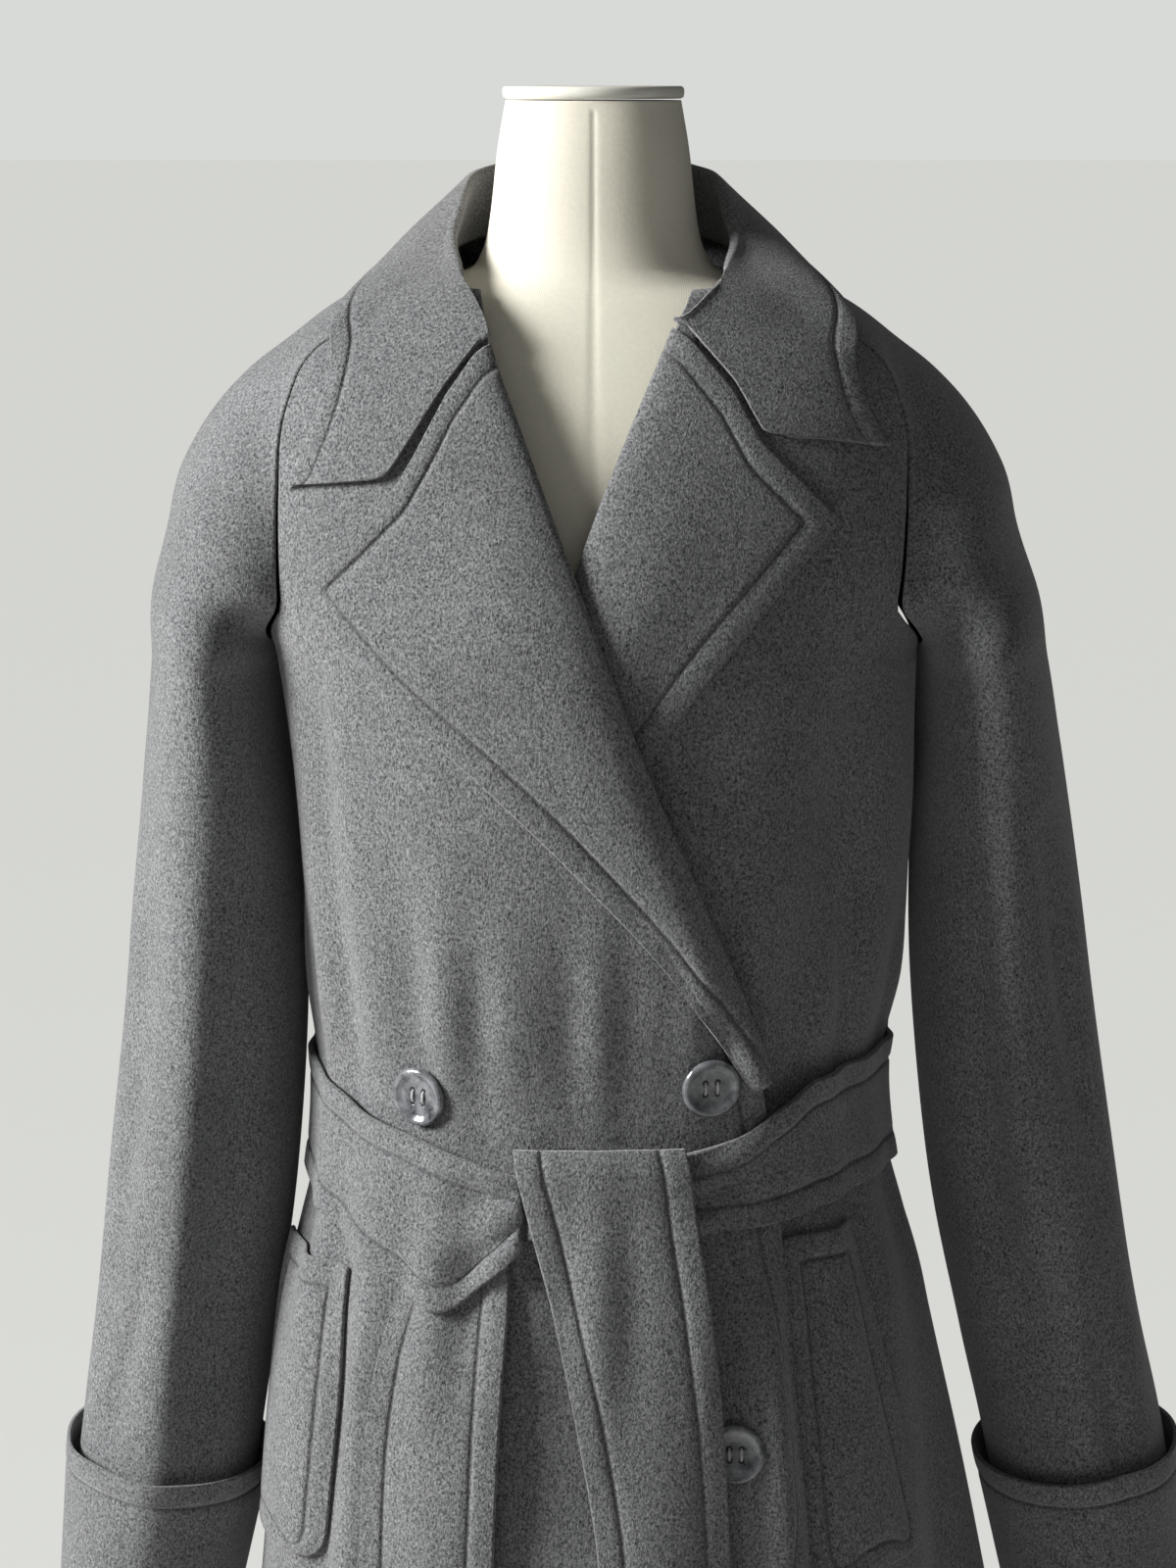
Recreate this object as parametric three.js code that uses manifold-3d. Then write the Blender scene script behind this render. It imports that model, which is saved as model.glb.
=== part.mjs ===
// Long double-breasted wool coat with raglan sleeves, turned-back cuffs and a tied belt, worn by a
// dress form on a round base.
//
// Millimetres, Z up, origin at the centre of the underside of the base. The coat faces -Y, so the
// wearer's right is at -X and the wearer's left at +X. Angles are degrees round the Z axis: 0 is the
// centre front, 90 the wearer's left side, 180 the centre back and -90 the wearer's right side.

import * as THREE from 'three';
import { mergeVertices } from 'three/addons/utils/BufferGeometryUtils.js';
import Module from 'manifold-3d';

const wasm = await Module();
wasm.setup();

// ---------------------------------------------------------------- driving sizes

const CLOTH = 2.2; // coating cloth, one thickness
const BELT_CLOTH = 3; // belt, two thicknesses pressed together
const SEAM_GAP = 0.5; // between the edges of two pieces at a seam
const LAYER = 3.6; // from one layer of the front to the next one over it
const UNDER = 0; // lift of the wearer's left front, which lies underneath
const OVER = 2 * LAYER + 1.4; // lift of the wearer's right front, over the left front and its lapel
const ON_LEFT = LAYER; // lift of what lies on the left front
const ON_RIGHT = OVER + LAYER; // lift of what lies on the right front
const OVAL = 2.3; // exponent of the body's oval sections: 2 is an ellipse

const STEEPEST = 2.4; // slope of the shoulders beyond which a lift grows no more

const HEM_HEIGHT = 235;
const ARMPIT_HEIGHT = 1215;
const NECK_HEIGHT = 1402; // top of the raglan seams
const NECK_RISE = 22; // centre back of the neckline over its ends

const BUTTON_RADIUS = 15;
const BUTTON_HEIGHT = 4.4;
const BUTTON_HOLE = { radius: 1.3, offset: 3.1, sides: 6 };

const NECK_CAP = { radius: 45, height: 6.7, top: 1500 };
const FORM_BOTTOM = 745;
const FORM_TOP = 1493;
const POLE_RADIUS = 16;
const BASE = { radius: 200, height: 12, edge: 2 };

// ---------------------------------------------------------------- shape tables

/** Half sizes of the coat's inside, from the collar to the hem. */
const BODY_SECTIONS = [
  { z: 1440, right: 60, left: 60, front: 60, back: 72 },
  { z: 1415, right: 78, left: 78, front: 64, back: 82 },
  { z: 1390, right: 130, left: 128, front: 78, back: 98 },
  { z: 1360, right: 172, left: 172, front: 93, back: 108 },
  { z: 1320, right: 184, left: 184, front: 109, back: 118 },
  { z: 1270, right: 176, left: 180, front: 124, back: 122 },
  { z: 1215, right: 158, left: 164, front: 134, back: 122 },
  { z: 1130, right: 146, left: 160, front: 136, back: 116 },
  { z: 1050, right: 144, left: 156, front: 130, back: 108 },
  { z: 1000, right: 140, left: 149, front: 126, back: 104 },
  { z: 960, right: 142, left: 152, front: 128, back: 108 },
  { z: 880, right: 158, left: 172, front: 142, back: 124 },
  { z: 727, right: 176, left: 204, front: 160, back: 142 },
  { z: 500, right: 198, left: 242, front: 180, back: 168 },
  { z: 235, right: 224, left: 268, front: 200, back: 194 },
];

/** Half sizes of the dress form, which the coat's shoulders rest on. */
const FORM_SECTIONS = [
  { z: 1493, side: 44.5, front: 44.5, back: 44.5 },
  { z: 1470, side: 48.5, front: 48.5, back: 48.5 },
  { z: 1430, side: 53.5, front: 52.5, back: 55 },
  { z: 1412, side: 60, front: 57, back: 63 },
  { z: 1403, side: 81, front: 62, back: 71 },
  { z: 1395, side: 114.5, front: 67, back: 78 },
  { z: 1380, side: 144.5, front: 74, back: 87 },
  { z: 1360, side: 162.5, front: 82, back: 95 },
  { z: 1320, side: 168, front: 97, back: 104 },
  { z: 1268, side: 156, front: 112, back: 106 },
  { z: 1230, side: 146, front: 118, back: 104 },
  { z: 1160, side: 134, front: 112, back: 96 },
  { z: 1080, side: 124, front: 98, back: 84 },
  { z: 1000, side: 120, front: 90, back: 79 },
  { z: 920, side: 132, front: 96, back: 92 },
  { z: 830, side: 150, front: 104, back: 108 },
  { z: 745, side: 147, front: 100, back: 104 },
];

/** Raglan seam on the front; the one on the back is its reflection. */
const RAGLAN_SEAM = [
  { z: 1402, angle: 46 },
  { z: 1388, angle: 63 },
  { z: 1372, angle: 69 },
  { z: 1345, angle: 68 },
  { z: 1300, angle: 65 },
  { z: 1250, angle: 63 },
  { z: 1232, angle: 72 },
  { z: 1215, angle: 90 },
];

/** Inner edge of each front: the roll of the lapel, then the closing edge below the belt. */
const RIGHT_FRONT_EDGE = [
  { z: 1402, x: -55 },
  { z: 1379, x: -51 },
  { z: 1338, x: -37 },
  { z: 1266, x: -10 },
  { z: 1175, x: 22 },
  { z: 1109, x: 47 },
  { z: 1016, x: 78 },
  { z: 900, x: 92 },
  { z: 770, x: 103 },
  { z: 235, x: 124 },
];
const LEFT_FRONT_EDGE = [
  { z: 1402, x: 48 },
  { z: 1375, x: 36 },
  { z: 1287, x: 0 },
  { z: 1175, x: -36 },
  { z: 1016, x: -78 },
  { z: 900, x: -88 },
  { z: 235, x: -116 },
];

/** Lapels: the gorge seam and upper edge from the roll to the tip, then the outer edge down. */
const RIGHT_LAPEL = {
  top: [{ x: -51, z: 1378 }, { x: -68, z: 1354 }, { x: -91, z: 1311 }, { x: -136, z: 1261 }],
  outer: [
    { z: 1261, x: -136 },
    { z: 1211, x: -92 },
    { z: 1173, x: -51 },
    { z: 1130, x: -10 },
    { z: 1080, x: 31 },
    { z: 1014, x: 71 },
  ],
  roll: RIGHT_FRONT_EDGE,
  rollEnd: 1017,
};
const LEFT_LAPEL = {
  top: [{ x: 40, z: 1385 }, { x: 64, z: 1357 }, { x: 78, z: 1332 }, { x: 116, z: 1294 }],
  outer: [
    { z: 1294, x: 116 },
    { z: 1253, x: 81 },
    { z: 1217, x: 51 },
    { z: 1175, x: 22 },
    { z: 1100, x: -22 },
    { z: 1030, x: -66 },
  ],
  roll: LEFT_FRONT_EDGE,
  rollEnd: 1033,
};

/** Collar, from the end at a notch to the centre back: its seat on the neckline, its roll, its edge. */
const COLLAR_STATIONS = [
  { at: 0, turn: 29, roll: 102, rollZ: 1379, seat: 102, seatZ: 1381, edgeTurn: 57, edge: 160, edgeZ: 1308 },
  { at: 1, turn: 36, roll: 96, rollZ: 1394, seat: 96, seatZ: 1395, edgeTurn: 58, edge: 160, edgeZ: 1335 },
  { at: 2, turn: 50, roll: 86, rollZ: 1412, seat: 88, seatZ: 1411, edgeTurn: 60, edge: 155, edgeZ: 1362 },
  { at: 3, turn: 72, roll: 68, rollZ: 1428, seat: 74, seatZ: 1416, edgeTurn: 68, edge: 138, edgeZ: 1389 },
  { at: 4, turn: 96, roll: 65, rollZ: 1447, seat: 74, seatZ: 1417, edgeTurn: 92, edge: 112, edgeZ: 1404 },
  { at: 5, turn: 124, roll: 70, rollZ: 1458, seat: 77, seatZ: 1421, edgeTurn: 122, edge: 112, edgeZ: 1398 },
  { at: 6, turn: 150, roll: 76, rollZ: 1462, seat: 80, seatZ: 1426, edgeTurn: 150, edge: 108, edgeZ: 1388 },
  { at: 7, turn: 180, roll: 79, rollZ: 1463, seat: 81, seatZ: 1428, edgeTurn: 180, edge: 108, edgeZ: 1384 },
];
const COLLAR_SWELL = 5;
const LAPEL_EASE = 0.8;
const COLLAR_EASE = 1.4; // between the collar and the cloth it falls on
const RIGHT_COLLAR_END = [
  { x: -52, z: 1379.5 }, { x: -69, z: 1358 }, { x: -97, z: 1314 }, { x: -147, z: 1308 },
];
const LEFT_COLLAR_END = [{ x: 41, z: 1388 }, { x: 65, z: 1361 }, { x: 79, z: 1336 }, { x: 142, z: 1329 }];

/**
 * Sleeve sections from the neck to the wrist. centreR and centreL are the distances from the Z axis
 * on the wearer's right and left, tilt turns the section's outward axis up, reach is its half size
 * along that axis and depth the one along Y, and span is how far the cloth goes from that axis to
 * each seam.
 */
const SLEEVE_SECTIONS = [
  { centreR: 60, centreL: 60, z: 1362, tilt: 68, reach: 52, depth: 72, span: 40, y: 0 },
  { centreR: 88, centreL: 88, z: 1344, tilt: 66, reach: 60, depth: 85, span: 40, y: 0 },
  { centreR: 114, centreL: 114, z: 1329, tilt: 60, reach: 62, depth: 85, span: 37, y: 0 },
  { centreR: 137, centreL: 136, z: 1318, tilt: 50, reach: 60, depth: 76, span: 58, y: 0 },
  { centreR: 156, centreL: 155, z: 1297, tilt: 22, reach: 56, depth: 78, span: 92, y: 0 },
  { centreR: 174, centreL: 174, z: 1260, tilt: 14, reach: 45, depth: 88, span: 122, y: 0 },
  { centreR: 195, centreL: 201, z: 1212, tilt: 8, reach: 31, depth: 84, span: 180, y: 0 },
  { centreR: 195, centreL: 207, z: 1140, tilt: 6, reach: 38, depth: 78, span: 180, y: 0 },
  { centreR: 197, centreL: 214, z: 1050, tilt: 6, reach: 44, depth: 73, span: 180, y: -2 },
  { centreR: 208, centreL: 230, z: 930, tilt: 6, reach: 47, depth: 67, span: 180, y: -4 },
  { centreR: 219, centreL: 246, z: 850, tilt: 6, reach: 46, depth: 61, span: 180, y: -6 },
  { centreR: 229, centreL: 261, z: 785, tilt: 7, reach: 46, depth: 57, span: 180, y: -8 },
  { centreR: 243, centreL: 276, z: 694, tilt: 7, reach: 44, depth: 54, span: 180, y: -10 },
];
const ARMPIT_SECTION = 6;
const NECK_EASE = 2; // degrees between the back and a sleeve at the neck, where both turn sharply
const ARMPIT_CLEARANCE = 5.2; // the sleeve's wall and the body's lie side by side under the arm
const CUFF_SECTIONS = { rim: 11.05, fold: 12 };

/** Belt round the waist, from the knot round the back and up to the knot again. */
const BELT_COURSE = [
  { angle: 15.8, top: 983, bottom: 941, lift: 12.6 },
  { angle: 28, top: 989, bottom: 943, lift: 12.6 },
  { angle: 38, top: 1003, bottom: 945, lift: 13 },
  { angle: 48, top: 1013, bottom: 947, lift: 8.6 },
  { angle: 62, top: 1014, bottom: 948, lift: 4.2 },
  { angle: 120, top: 1012, bottom: 941, lift: 3.8 },
  { angle: 180, top: 1012, bottom: 938, lift: 3.8 },
  { angle: 268, top: 1011, bottom: 946, lift: 4 },
  { angle: 284, top: 1010, bottom: 945, lift: 7.4 },
  { angle: 300, top: 1004, bottom: 936, lift: 12.4 },
  { angle: 311, top: 995, bottom: 926, lift: 13.8 },
  { angle: 322, top: 990, bottom: 915, lift: 17 },
  { angle: 332, top: 983, bottom: 904, lift: 16.6 },
  { angle: 341, top: 977, bottom: 922, lift: 16.6 },
  { angle: 346.4, top: 974, bottom: 938, lift: 16.4 },
];

/** Ends of the belt: the one tied over the top, and the one that hangs from under the belt. */
const TAIL_OVER = [
  { z: 987, from: -35, to: 40, lift: 20.6 },
  { z: 950, from: -27, to: 44, lift: 20.6 },
  { z: 904, from: -17, to: 51, lift: 19.8 },
  { z: 848, from: -7, to: 57, lift: 19 },
  { z: 782, from: 2, to: 61, lift: 18.4 },
  { z: 650, from: 9, to: 68, lift: 15.6 },
  { z: 530, from: 14, to: 74, lift: 13.6 },
];
const TAIL_UNDER = [
  { z: 962, from: -80, to: -38, lift: 12 },
  { z: 918, from: -87, to: -38, lift: 12.2 },
  { z: 872, from: -98, to: -40, lift: 16.4 },
  { z: 829, from: -103, to: -42, lift: 18.8 },
  { z: 770, from: -107, to: -45, lift: 17.2 },
  { z: 640, from: -112, to: -49, lift: 14 },
  { z: 500, from: -116, to: -52, lift: 12.8 },
];

/** Patch pockets, by the angles of their upright edges. */
const LEFT_POCKET = { inner: 37.5, outerTop: 56.5, outerBottom: 62.5, top: 932, bottom: 757, corner: 16 };
const RIGHT_POCKET = { inner: -50, outerTop: -76, outerBottom: -82, top: 912, bottom: 757, corner: 16 };

const BUTTONS = [
  { name: 'button_upper_right', x: -79, z: 1008, rest: 1.1 },
  { name: 'button_upper_left', x: 53, z: 1017, rest: 0.9 },
  { name: 'button_lower_right', x: -74, z: 829, rest: 0.6 },
  { name: 'button_lower_left', x: 66, z: 832, rest: 0.6 },
];

/** Long folds of the bodice and of the skirt: rise is out (+) or in (-), spread is the half width. */
const BODICE_FOLDS = [
  { angle: 53, spread: 9, rise: -9 },
  { angle: 75, spread: 9, rise: 5 },
  { angle: -64, spread: 9, rise: 5 },
  { angle: 140, spread: 12, rise: -5 },
  { angle: 215, spread: 12, rise: -6 },
];
const SKIRT_FOLDS = [
  { angle: -98, spread: 7, rise: -7 },
  { angle: 70, spread: 7, rise: -13 },
  { angle: 80, spread: 7, rise: 8 },
  { angle: 94, spread: 7, rise: -4 },
  { angle: 108, spread: 10, rise: -9 },
  { angle: 130, spread: 11, rise: 10 },
  { angle: 153, spread: 10, rise: -8 },
  { angle: 176, spread: 11, rise: 8 },
  { angle: 201, spread: 10, rise: -9 },
  { angle: 224, spread: 11, rise: 10 },
  { angle: 248, spread: 9, rise: -7 },
];
const BODICE_FOLD_RANGE = { bottom: 1022, top: 1262 };
const SKIRT_FOLD_RANGE = { bottom: 640, top: 925 };
const SLEEVE_FOLD = { turn: -112, spread: 26, rise: -7, from: 7, to: 11 };

// Rows of the panels: the first ones down to the armpit are the sleeve's rows too, along the seam.
const YOKE_HEIGHTS = [1402, 1388, 1372, 1350, 1325, 1300, 1272, 1245, 1228, ARMPIT_HEIGHT];
const LOWER_HEIGHTS = [1180, 1130, 1080, 1040, 1008, 972, 935, 885, 820, 735, 620, 500, 370, HEM_HEIGHT];
const PANEL_HEIGHTS = [...YOKE_HEIGHTS, ...LOWER_HEIGHTS];
const SLEEVE_LOWER_ROWS = 10;
const SLEEVE_COLUMNS = 14;

// ---------------------------------------------------------------- finishes

const finish = (color, roughness, metalness = 0) =>
  new THREE.MeshStandardMaterial({ color, roughness, metalness });
const wool = finish(0x4b4b4d, 0.95);
const linen = finish(0xe6e1d6, 0.9);
const capPaint = finish(0xdcdad2, 0.45);
const horn = finish(0x77777d, 0.25);
const steel = finish(0xb9babc, 0.35, 0.8);

// ---------------------------------------------------------------- reading the tables

const radians = THREE.MathUtils.degToRad;
const lerp = THREE.MathUtils.lerp;
const smoothstep = THREE.MathUtils.smoothstep;

/** Smooth curve through one column of a table, read at a value of its key column. */
function readTable(table, key, column, at) {
  const rising = table[table.length - 1][key] > table[0][key];
  const inside = (row) => (rising ? row[key] >= at : row[key] <= at);
  const found = table.findIndex(inside);
  const end = found === -1 ? table.length - 1 : Math.max(found, 1);
  const [a, b] = [table[end - 1], table[end]];
  const width = b[key] - a[key];
  const share = THREE.MathUtils.clamp((at - a[key]) / width, 0, 1);
  const rise = b[column] - a[column];
  const slope = (row, other) =>
    (row && other ? (other[column] - row[column]) / (other[key] - row[key]) : null);
  const straight = rise / width;
  const startSlope = steady(slope(table[end - 2], a), straight);
  const endSlope = steady(slope(b, table[end + 1]), straight);
  const [t2, t3] = [share ** 2, share ** 3];
  return a[column] * (2 * t3 - 3 * t2 + 1) + b[column] * (3 * t2 - 2 * t3)
    + width * (startSlope * (t3 - 2 * t2 + share) + endSlope * (t3 - t2));
}

/** Slope shared by two neighbouring stretches: level where they turn back, so no curve overshoots. */
function steady(neighbour, own) {
  if (neighbour === null) return own;
  return neighbour * own <= 0 ? 0 : (2 * neighbour * own) / (neighbour + own);
}

/** Point at a share of the way along a short polyline of {x, z} points. */
function alongLine(points, share) {
  const place = share * (points.length - 1);
  const index = Math.min(Math.floor(place), points.length - 2);
  const [a, b] = [points[index], points[index + 1]];
  return { x: lerp(a.x, b.x, place - index), z: lerp(a.z, b.z, place - index) };
}

// ---------------------------------------------------------------- surfaces of the coat

const bump = (distance, spread) => Math.exp(-((distance / spread) ** 2));
const turnBetween = (a, b) => ((a - b + 540) % 360) - 180;

/** How far the long folds move the cloth out at an angle and height. */
function foldRise(angle, z) {
  const sum = (folds) =>
    folds.reduce((total, fold) => total + fold.rise * bump(turnBetween(angle, fold.angle), fold.spread), 0);
  const bodiceShare = (z - BODICE_FOLD_RANGE.bottom) / (BODICE_FOLD_RANGE.top - BODICE_FOLD_RANGE.bottom);
  const bodice = Math.sin(Math.PI * THREE.MathUtils.clamp(bodiceShare, 0, 1));
  const skirt = 1 - smoothstep(z, SKIRT_FOLD_RANGE.bottom, SKIRT_FOLD_RANGE.top);
  return bodice * sum(BODICE_FOLDS) + skirt * sum(SKIRT_FOLDS);
}

/** Radius of an oval section with its own half sizes to each side, front and back. */
function ovalRadius(angle, side, front, back) {
  const across = Math.abs(Math.sin(radians(angle))) / side;
  const along = Math.cos(radians(angle));
  const deep = Math.abs(along) / (along > 0 ? front : back);
  return (across ** OVAL + deep ** OVAL) ** (-1 / OVAL);
}

/** Radius of the coat's body, folds and all, at an angle and height. */
function bodyRadius(angle, z) {
  const side = readTable(BODY_SECTIONS, 'z', turnBetween(angle, 0) < 0 ? 'right' : 'left', z);
  const front = readTable(BODY_SECTIONS, 'z', 'front', z);
  const back = readTable(BODY_SECTIONS, 'z', 'back', z);
  return ovalRadius(angle, side, front, back) + foldRise(angle, z);
}

const polarPoint = (angle, radius, z) =>
  new THREE.Vector3(radius * Math.sin(radians(angle)), -radius * Math.cos(radians(angle)), z);

/** Radius of the body's surface moved out by lift, measured square to its slope. */
function liftedRadius(angle, z, lift) {
  const slope = (bodyRadius(angle, z + 2) - bodyRadius(angle, z - 2)) / 4;
  return bodyRadius(angle, z) + lift * Math.hypot(1, Math.min(Math.abs(slope), STEEPEST));
}

/** Point of the coat's body at an angle and height, moved out by lift. */
const bodyPoint = (angle, z, lift) => polarPoint(angle, liftedRadius(angle, z, lift), z);

/** Angle on the front at which the body's surface has a given X. */
function frontAngle(x, z) {
  let [low, high] = [-90, 90];
  for (let step = 0; step < 24; step += 1) {
    const middle = (low + high) / 2;
    if (bodyPoint(middle, z, 0).x < x) low = middle;
    else high = middle;
  }
  return (low + high) / 2;
}

const frontPoint = (x, z, lift) => bodyPoint(frontAngle(x, z), z, lift);
const gapAngle = SEAM_GAP / 2 / 2.6; // half a seam gap at the body's usual radius, in degrees

/** Angle of the side edge of the fronts at a height: the raglan seam, then the side seam. */
function sideSeam(z) {
  return z > ARMPIT_HEIGHT ? readTable(RAGLAN_SEAM, 'z', 'angle', z) : 90;
}

/** Lift of the right front: over the left front and its lapel at the middle, on the body elsewhere. */
const rightFrontLift = (angle, z) => OVER * smoothstep(angle, -88, -60) * (1 - smoothstep(z, 1230, 1330));

// ---------------------------------------------------------------- cloth walls

/**
 * A wall of cloth between two skins. place(row, column) gives the inner skin's points, rows going
 * down and columns to the right as the face is seen; the outer skin is the same points moved out
 * along the surface's normal. A closed wall goes all the way round.
 */
function clothWall(rows, columns, place, { thickness = CLOTH, closed = false } = {}) {
  const across = closed ? columns : columns + 1;
  const inner = [];
  for (let row = 0; row <= rows; row += 1) {
    for (let column = 0; column < across; column += 1) inner.push(place(row, column));
  }
  const index = (row, column) => row * across + (closed ? (column + across) % across : column);
  const clamped = (row, column) => inner[index(
    THREE.MathUtils.clamp(row, 0, rows),
    closed ? column : THREE.MathUtils.clamp(column, 0, columns),
  )];
  const outer = inner.map((point, i) => {
    const [row, column] = [Math.floor(i / across), i % across];
    const down = new THREE.Vector3().subVectors(clamped(row + 1, column), clamped(row - 1, column));
    const right = new THREE.Vector3().subVectors(clamped(row, column + 1), clamped(row, column - 1));
    return down.cross(right).normalize().multiplyScalar(thickness).add(point);
  });

  const faces = [];
  const quad = (a, b, c, d) => faces.push(a, b, c, a, c, d);
  const out = (row, column) => inner.length + index(row, column);
  for (let row = 0; row < rows; row += 1) {
    for (let column = 0; column < columns; column += 1) {
      quad(out(row, column), out(row + 1, column), out(row + 1, column + 1), out(row, column + 1));
      quad(index(row, column), index(row, column + 1), index(row + 1, column + 1), index(row + 1, column));
    }
  }
  for (let column = 0; column < columns; column += 1) {
    quad(out(0, column), out(0, column + 1), index(0, column + 1), index(0, column));
    quad(out(rows, column + 1), out(rows, column), index(rows, column), index(rows, column + 1));
  }
  for (let row = 0; row < rows && !closed; row += 1) {
    quad(out(row, 0), index(row, 0), index(row + 1, 0), out(row + 1, 0));
    quad(out(row, columns), out(row + 1, columns), index(row + 1, columns), index(row, columns));
  }
  return indexedGeometry([...inner, ...outer], faces);
}

function indexedGeometry(points, faces) {
  const geometry = new THREE.BufferGeometry();
  const positions = points.flatMap((point) => [point.x, point.y, point.z]);
  geometry.setAttribute('position', new THREE.Float32BufferAttribute(positions, 3));
  geometry.setIndex(faces);
  geometry.computeVertexNormals();
  return geometry;
}

/** Body panel between two edges, each an angle at a height. */
function panel(columns, fromAngle, toAngle, lift, heightAt = (angle, z) => z) {
  return clothWall(PANEL_HEIGHTS.length - 1, columns, (row, column) => {
    const z = PANEL_HEIGHTS[row];
    const angle = lerp(fromAngle(z), toAngle(z), column / columns);
    return bodyPoint(angle, heightAt(angle, z), lift(angle, z));
  });
}

// ---------------------------------------------------------------- body panels

function rightFront() {
  const closingEdge = (z) => frontAngle(readTable(RIGHT_FRONT_EDGE, 'z', 'x', z), z);
  return panel(12, (z) => gapAngle - sideSeam(z), closingEdge, rightFrontLift);
}

function leftFront() {
  const closingEdge = (z) => frontAngle(readTable(LEFT_FRONT_EDGE, 'z', 'x', z), z);
  return panel(12, closingEdge, (z) => sideSeam(z) - gapAngle, () => UNDER);
}

/** The neckline of the back rises towards its centre. */
function back() {
  const rise = (angle, z) => {
    const share = smoothstep(z, 1330, NECK_HEIGHT);
    const off = Math.min(Math.abs(angle - 180) / sideSeam(z), 1);
    return z + NECK_RISE * share * (1 - off ** 2);
  };
  const from = (z) => 180 - sideSeam(z) + gapAngle;
  const to = (z) => 180 + sideSeam(z) - gapAngle;
  return panel(16, from, to, () => UNDER, rise);
}

// ---------------------------------------------------------------- lapels and collar

/** A lapel lies on its front, between the roll and its outer edge. */
function lapel({ top, outer, roll, rollEnd }, lift, wearerSide) {
  const [rows, columns] = [9, 5];
  const [start, tip] = [top[0], top[top.length - 1]];
  return clothWall(rows, columns, (row, column) => {
    const down = row / rows;
    const across = wearerSide === 'left' ? column / columns : 1 - column / columns;
    const rollZ = lerp(start.z, rollEnd, down);
    const outerZ = lerp(tip.z, outer[outer.length - 1].z, down);
    const rollX = readTable(roll, 'z', 'x', rollZ);
    const outerX = readTable(outer, 'z', 'x', outerZ);
    const edge = alongLine(top, across);
    const fade = (1 - down) ** 3;
    const x = lerp(rollX, outerX, across) + fade * (edge.x - lerp(start.x, tip.x, across));
    const z = lerp(rollZ, outerZ, across) + fade * (edge.z - lerp(start.z, tip.z, across));
    return frontPoint(x, z, lift(frontAngle(x, z), z));
  });
}

/**
 * Point of one half of the collar, by its place along it (0 at the notch, 1 at the centre back) and
 * across it (-1 the seat, 0 the roll, 1 the edge). The fall clears the cloth under it.
 */
function collarPoint(side, along, across, end, lift) {
  const at = along * (COLLAR_STATIONS.length - 1);
  const read = (column) => readTable(COLLAR_STATIONS, 'at', column, at);
  const fade = (1 - smoothstep(at, 0, 3)) ** 1.5;
  if (across < 0) {
    const endAngle = Math.abs(frontAngle(end[0].x, end[0].z));
    const angle = lerp(read('turn'), endAngle, fade) - 2 * (1 - along);
    const z = lerp(read('seatZ'), end[0].z + 3, fade);
    const overhang = liftedRadius(side * angle, z, lift(side * angle, z));
    return polarPoint(side * angle, lerp(read('seat'), overhang, fade), z);
  }
  const notch = alongLine(end, across);
  const notchAngle = Math.abs(frontAngle(notch.x, notch.z));
  const angle = lerp(lerp(read('turn'), read('edgeTurn'), across), notchAngle, fade);
  const z = lerp(lerp(read('rollZ'), read('edgeZ'), across), notch.z, fade);
  const chord = lerp(read('roll'), read('edge'), across) + COLLAR_SWELL * Math.sin(Math.PI * across);
  const under = liftedRadius(side * angle, z, lift(side * angle, z));
  return polarPoint(side * angle, Math.max(lerp(chord, 0, fade), under), z);
}

/** The collar goes from the left notch round the back of the neck to the right notch. */
function collar() {
  const [rows, half] = [5, 10];
  const onRight = (angle, z) => rightFrontLift(angle, z) + LAYER + COLLAR_EASE;
  const onLeft = () => LAYER + COLLAR_EASE;
  return clothWall(rows, 2 * half, (row, column) => {
    const across = row === 0 ? -1 : (row - 1) / (rows - 1);
    const along = 1 - Math.abs(column - half) / half;
    return column <= half
      ? collarPoint(1, along, across, LEFT_COLLAR_END, onLeft)
      : collarPoint(-1, along, across, RIGHT_COLLAR_END, onRight);
  });
}

// ---------------------------------------------------------------- sleeves and cuffs

/** Point of a sleeve at a place down the table of sections and a turn from its outward axis. */
function sleevePoint(side, at, turn, lift) {
  const sections = SLEEVE_SECTIONS.map((section, index) => ({ ...section, index }));
  const read = (column) => readTable(sections, 'index', column, at);
  const tilt = radians(read('tilt'));
  const centre = read(side < 0 ? 'centreR' : 'centreL');
  const fold = at > SLEEVE_FOLD.from && at < SLEEVE_FOLD.to
    ? SLEEVE_FOLD.rise * Math.sin((Math.PI * (at - SLEEVE_FOLD.from)) / (SLEEVE_FOLD.to - SLEEVE_FOLD.from))
      * bump(turn - SLEEVE_FOLD.turn, SLEEVE_FOLD.spread)
    : 0;
  const out = (read('reach') + lift + fold) * Math.cos(radians(turn));
  const x = side * (centre + out * Math.cos(tilt));
  const y = read('y') + (read('depth') + lift + fold) * Math.sin(radians(turn));
  return new THREE.Vector3(x, y, read('z') + out * Math.sin(tilt));
}

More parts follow.
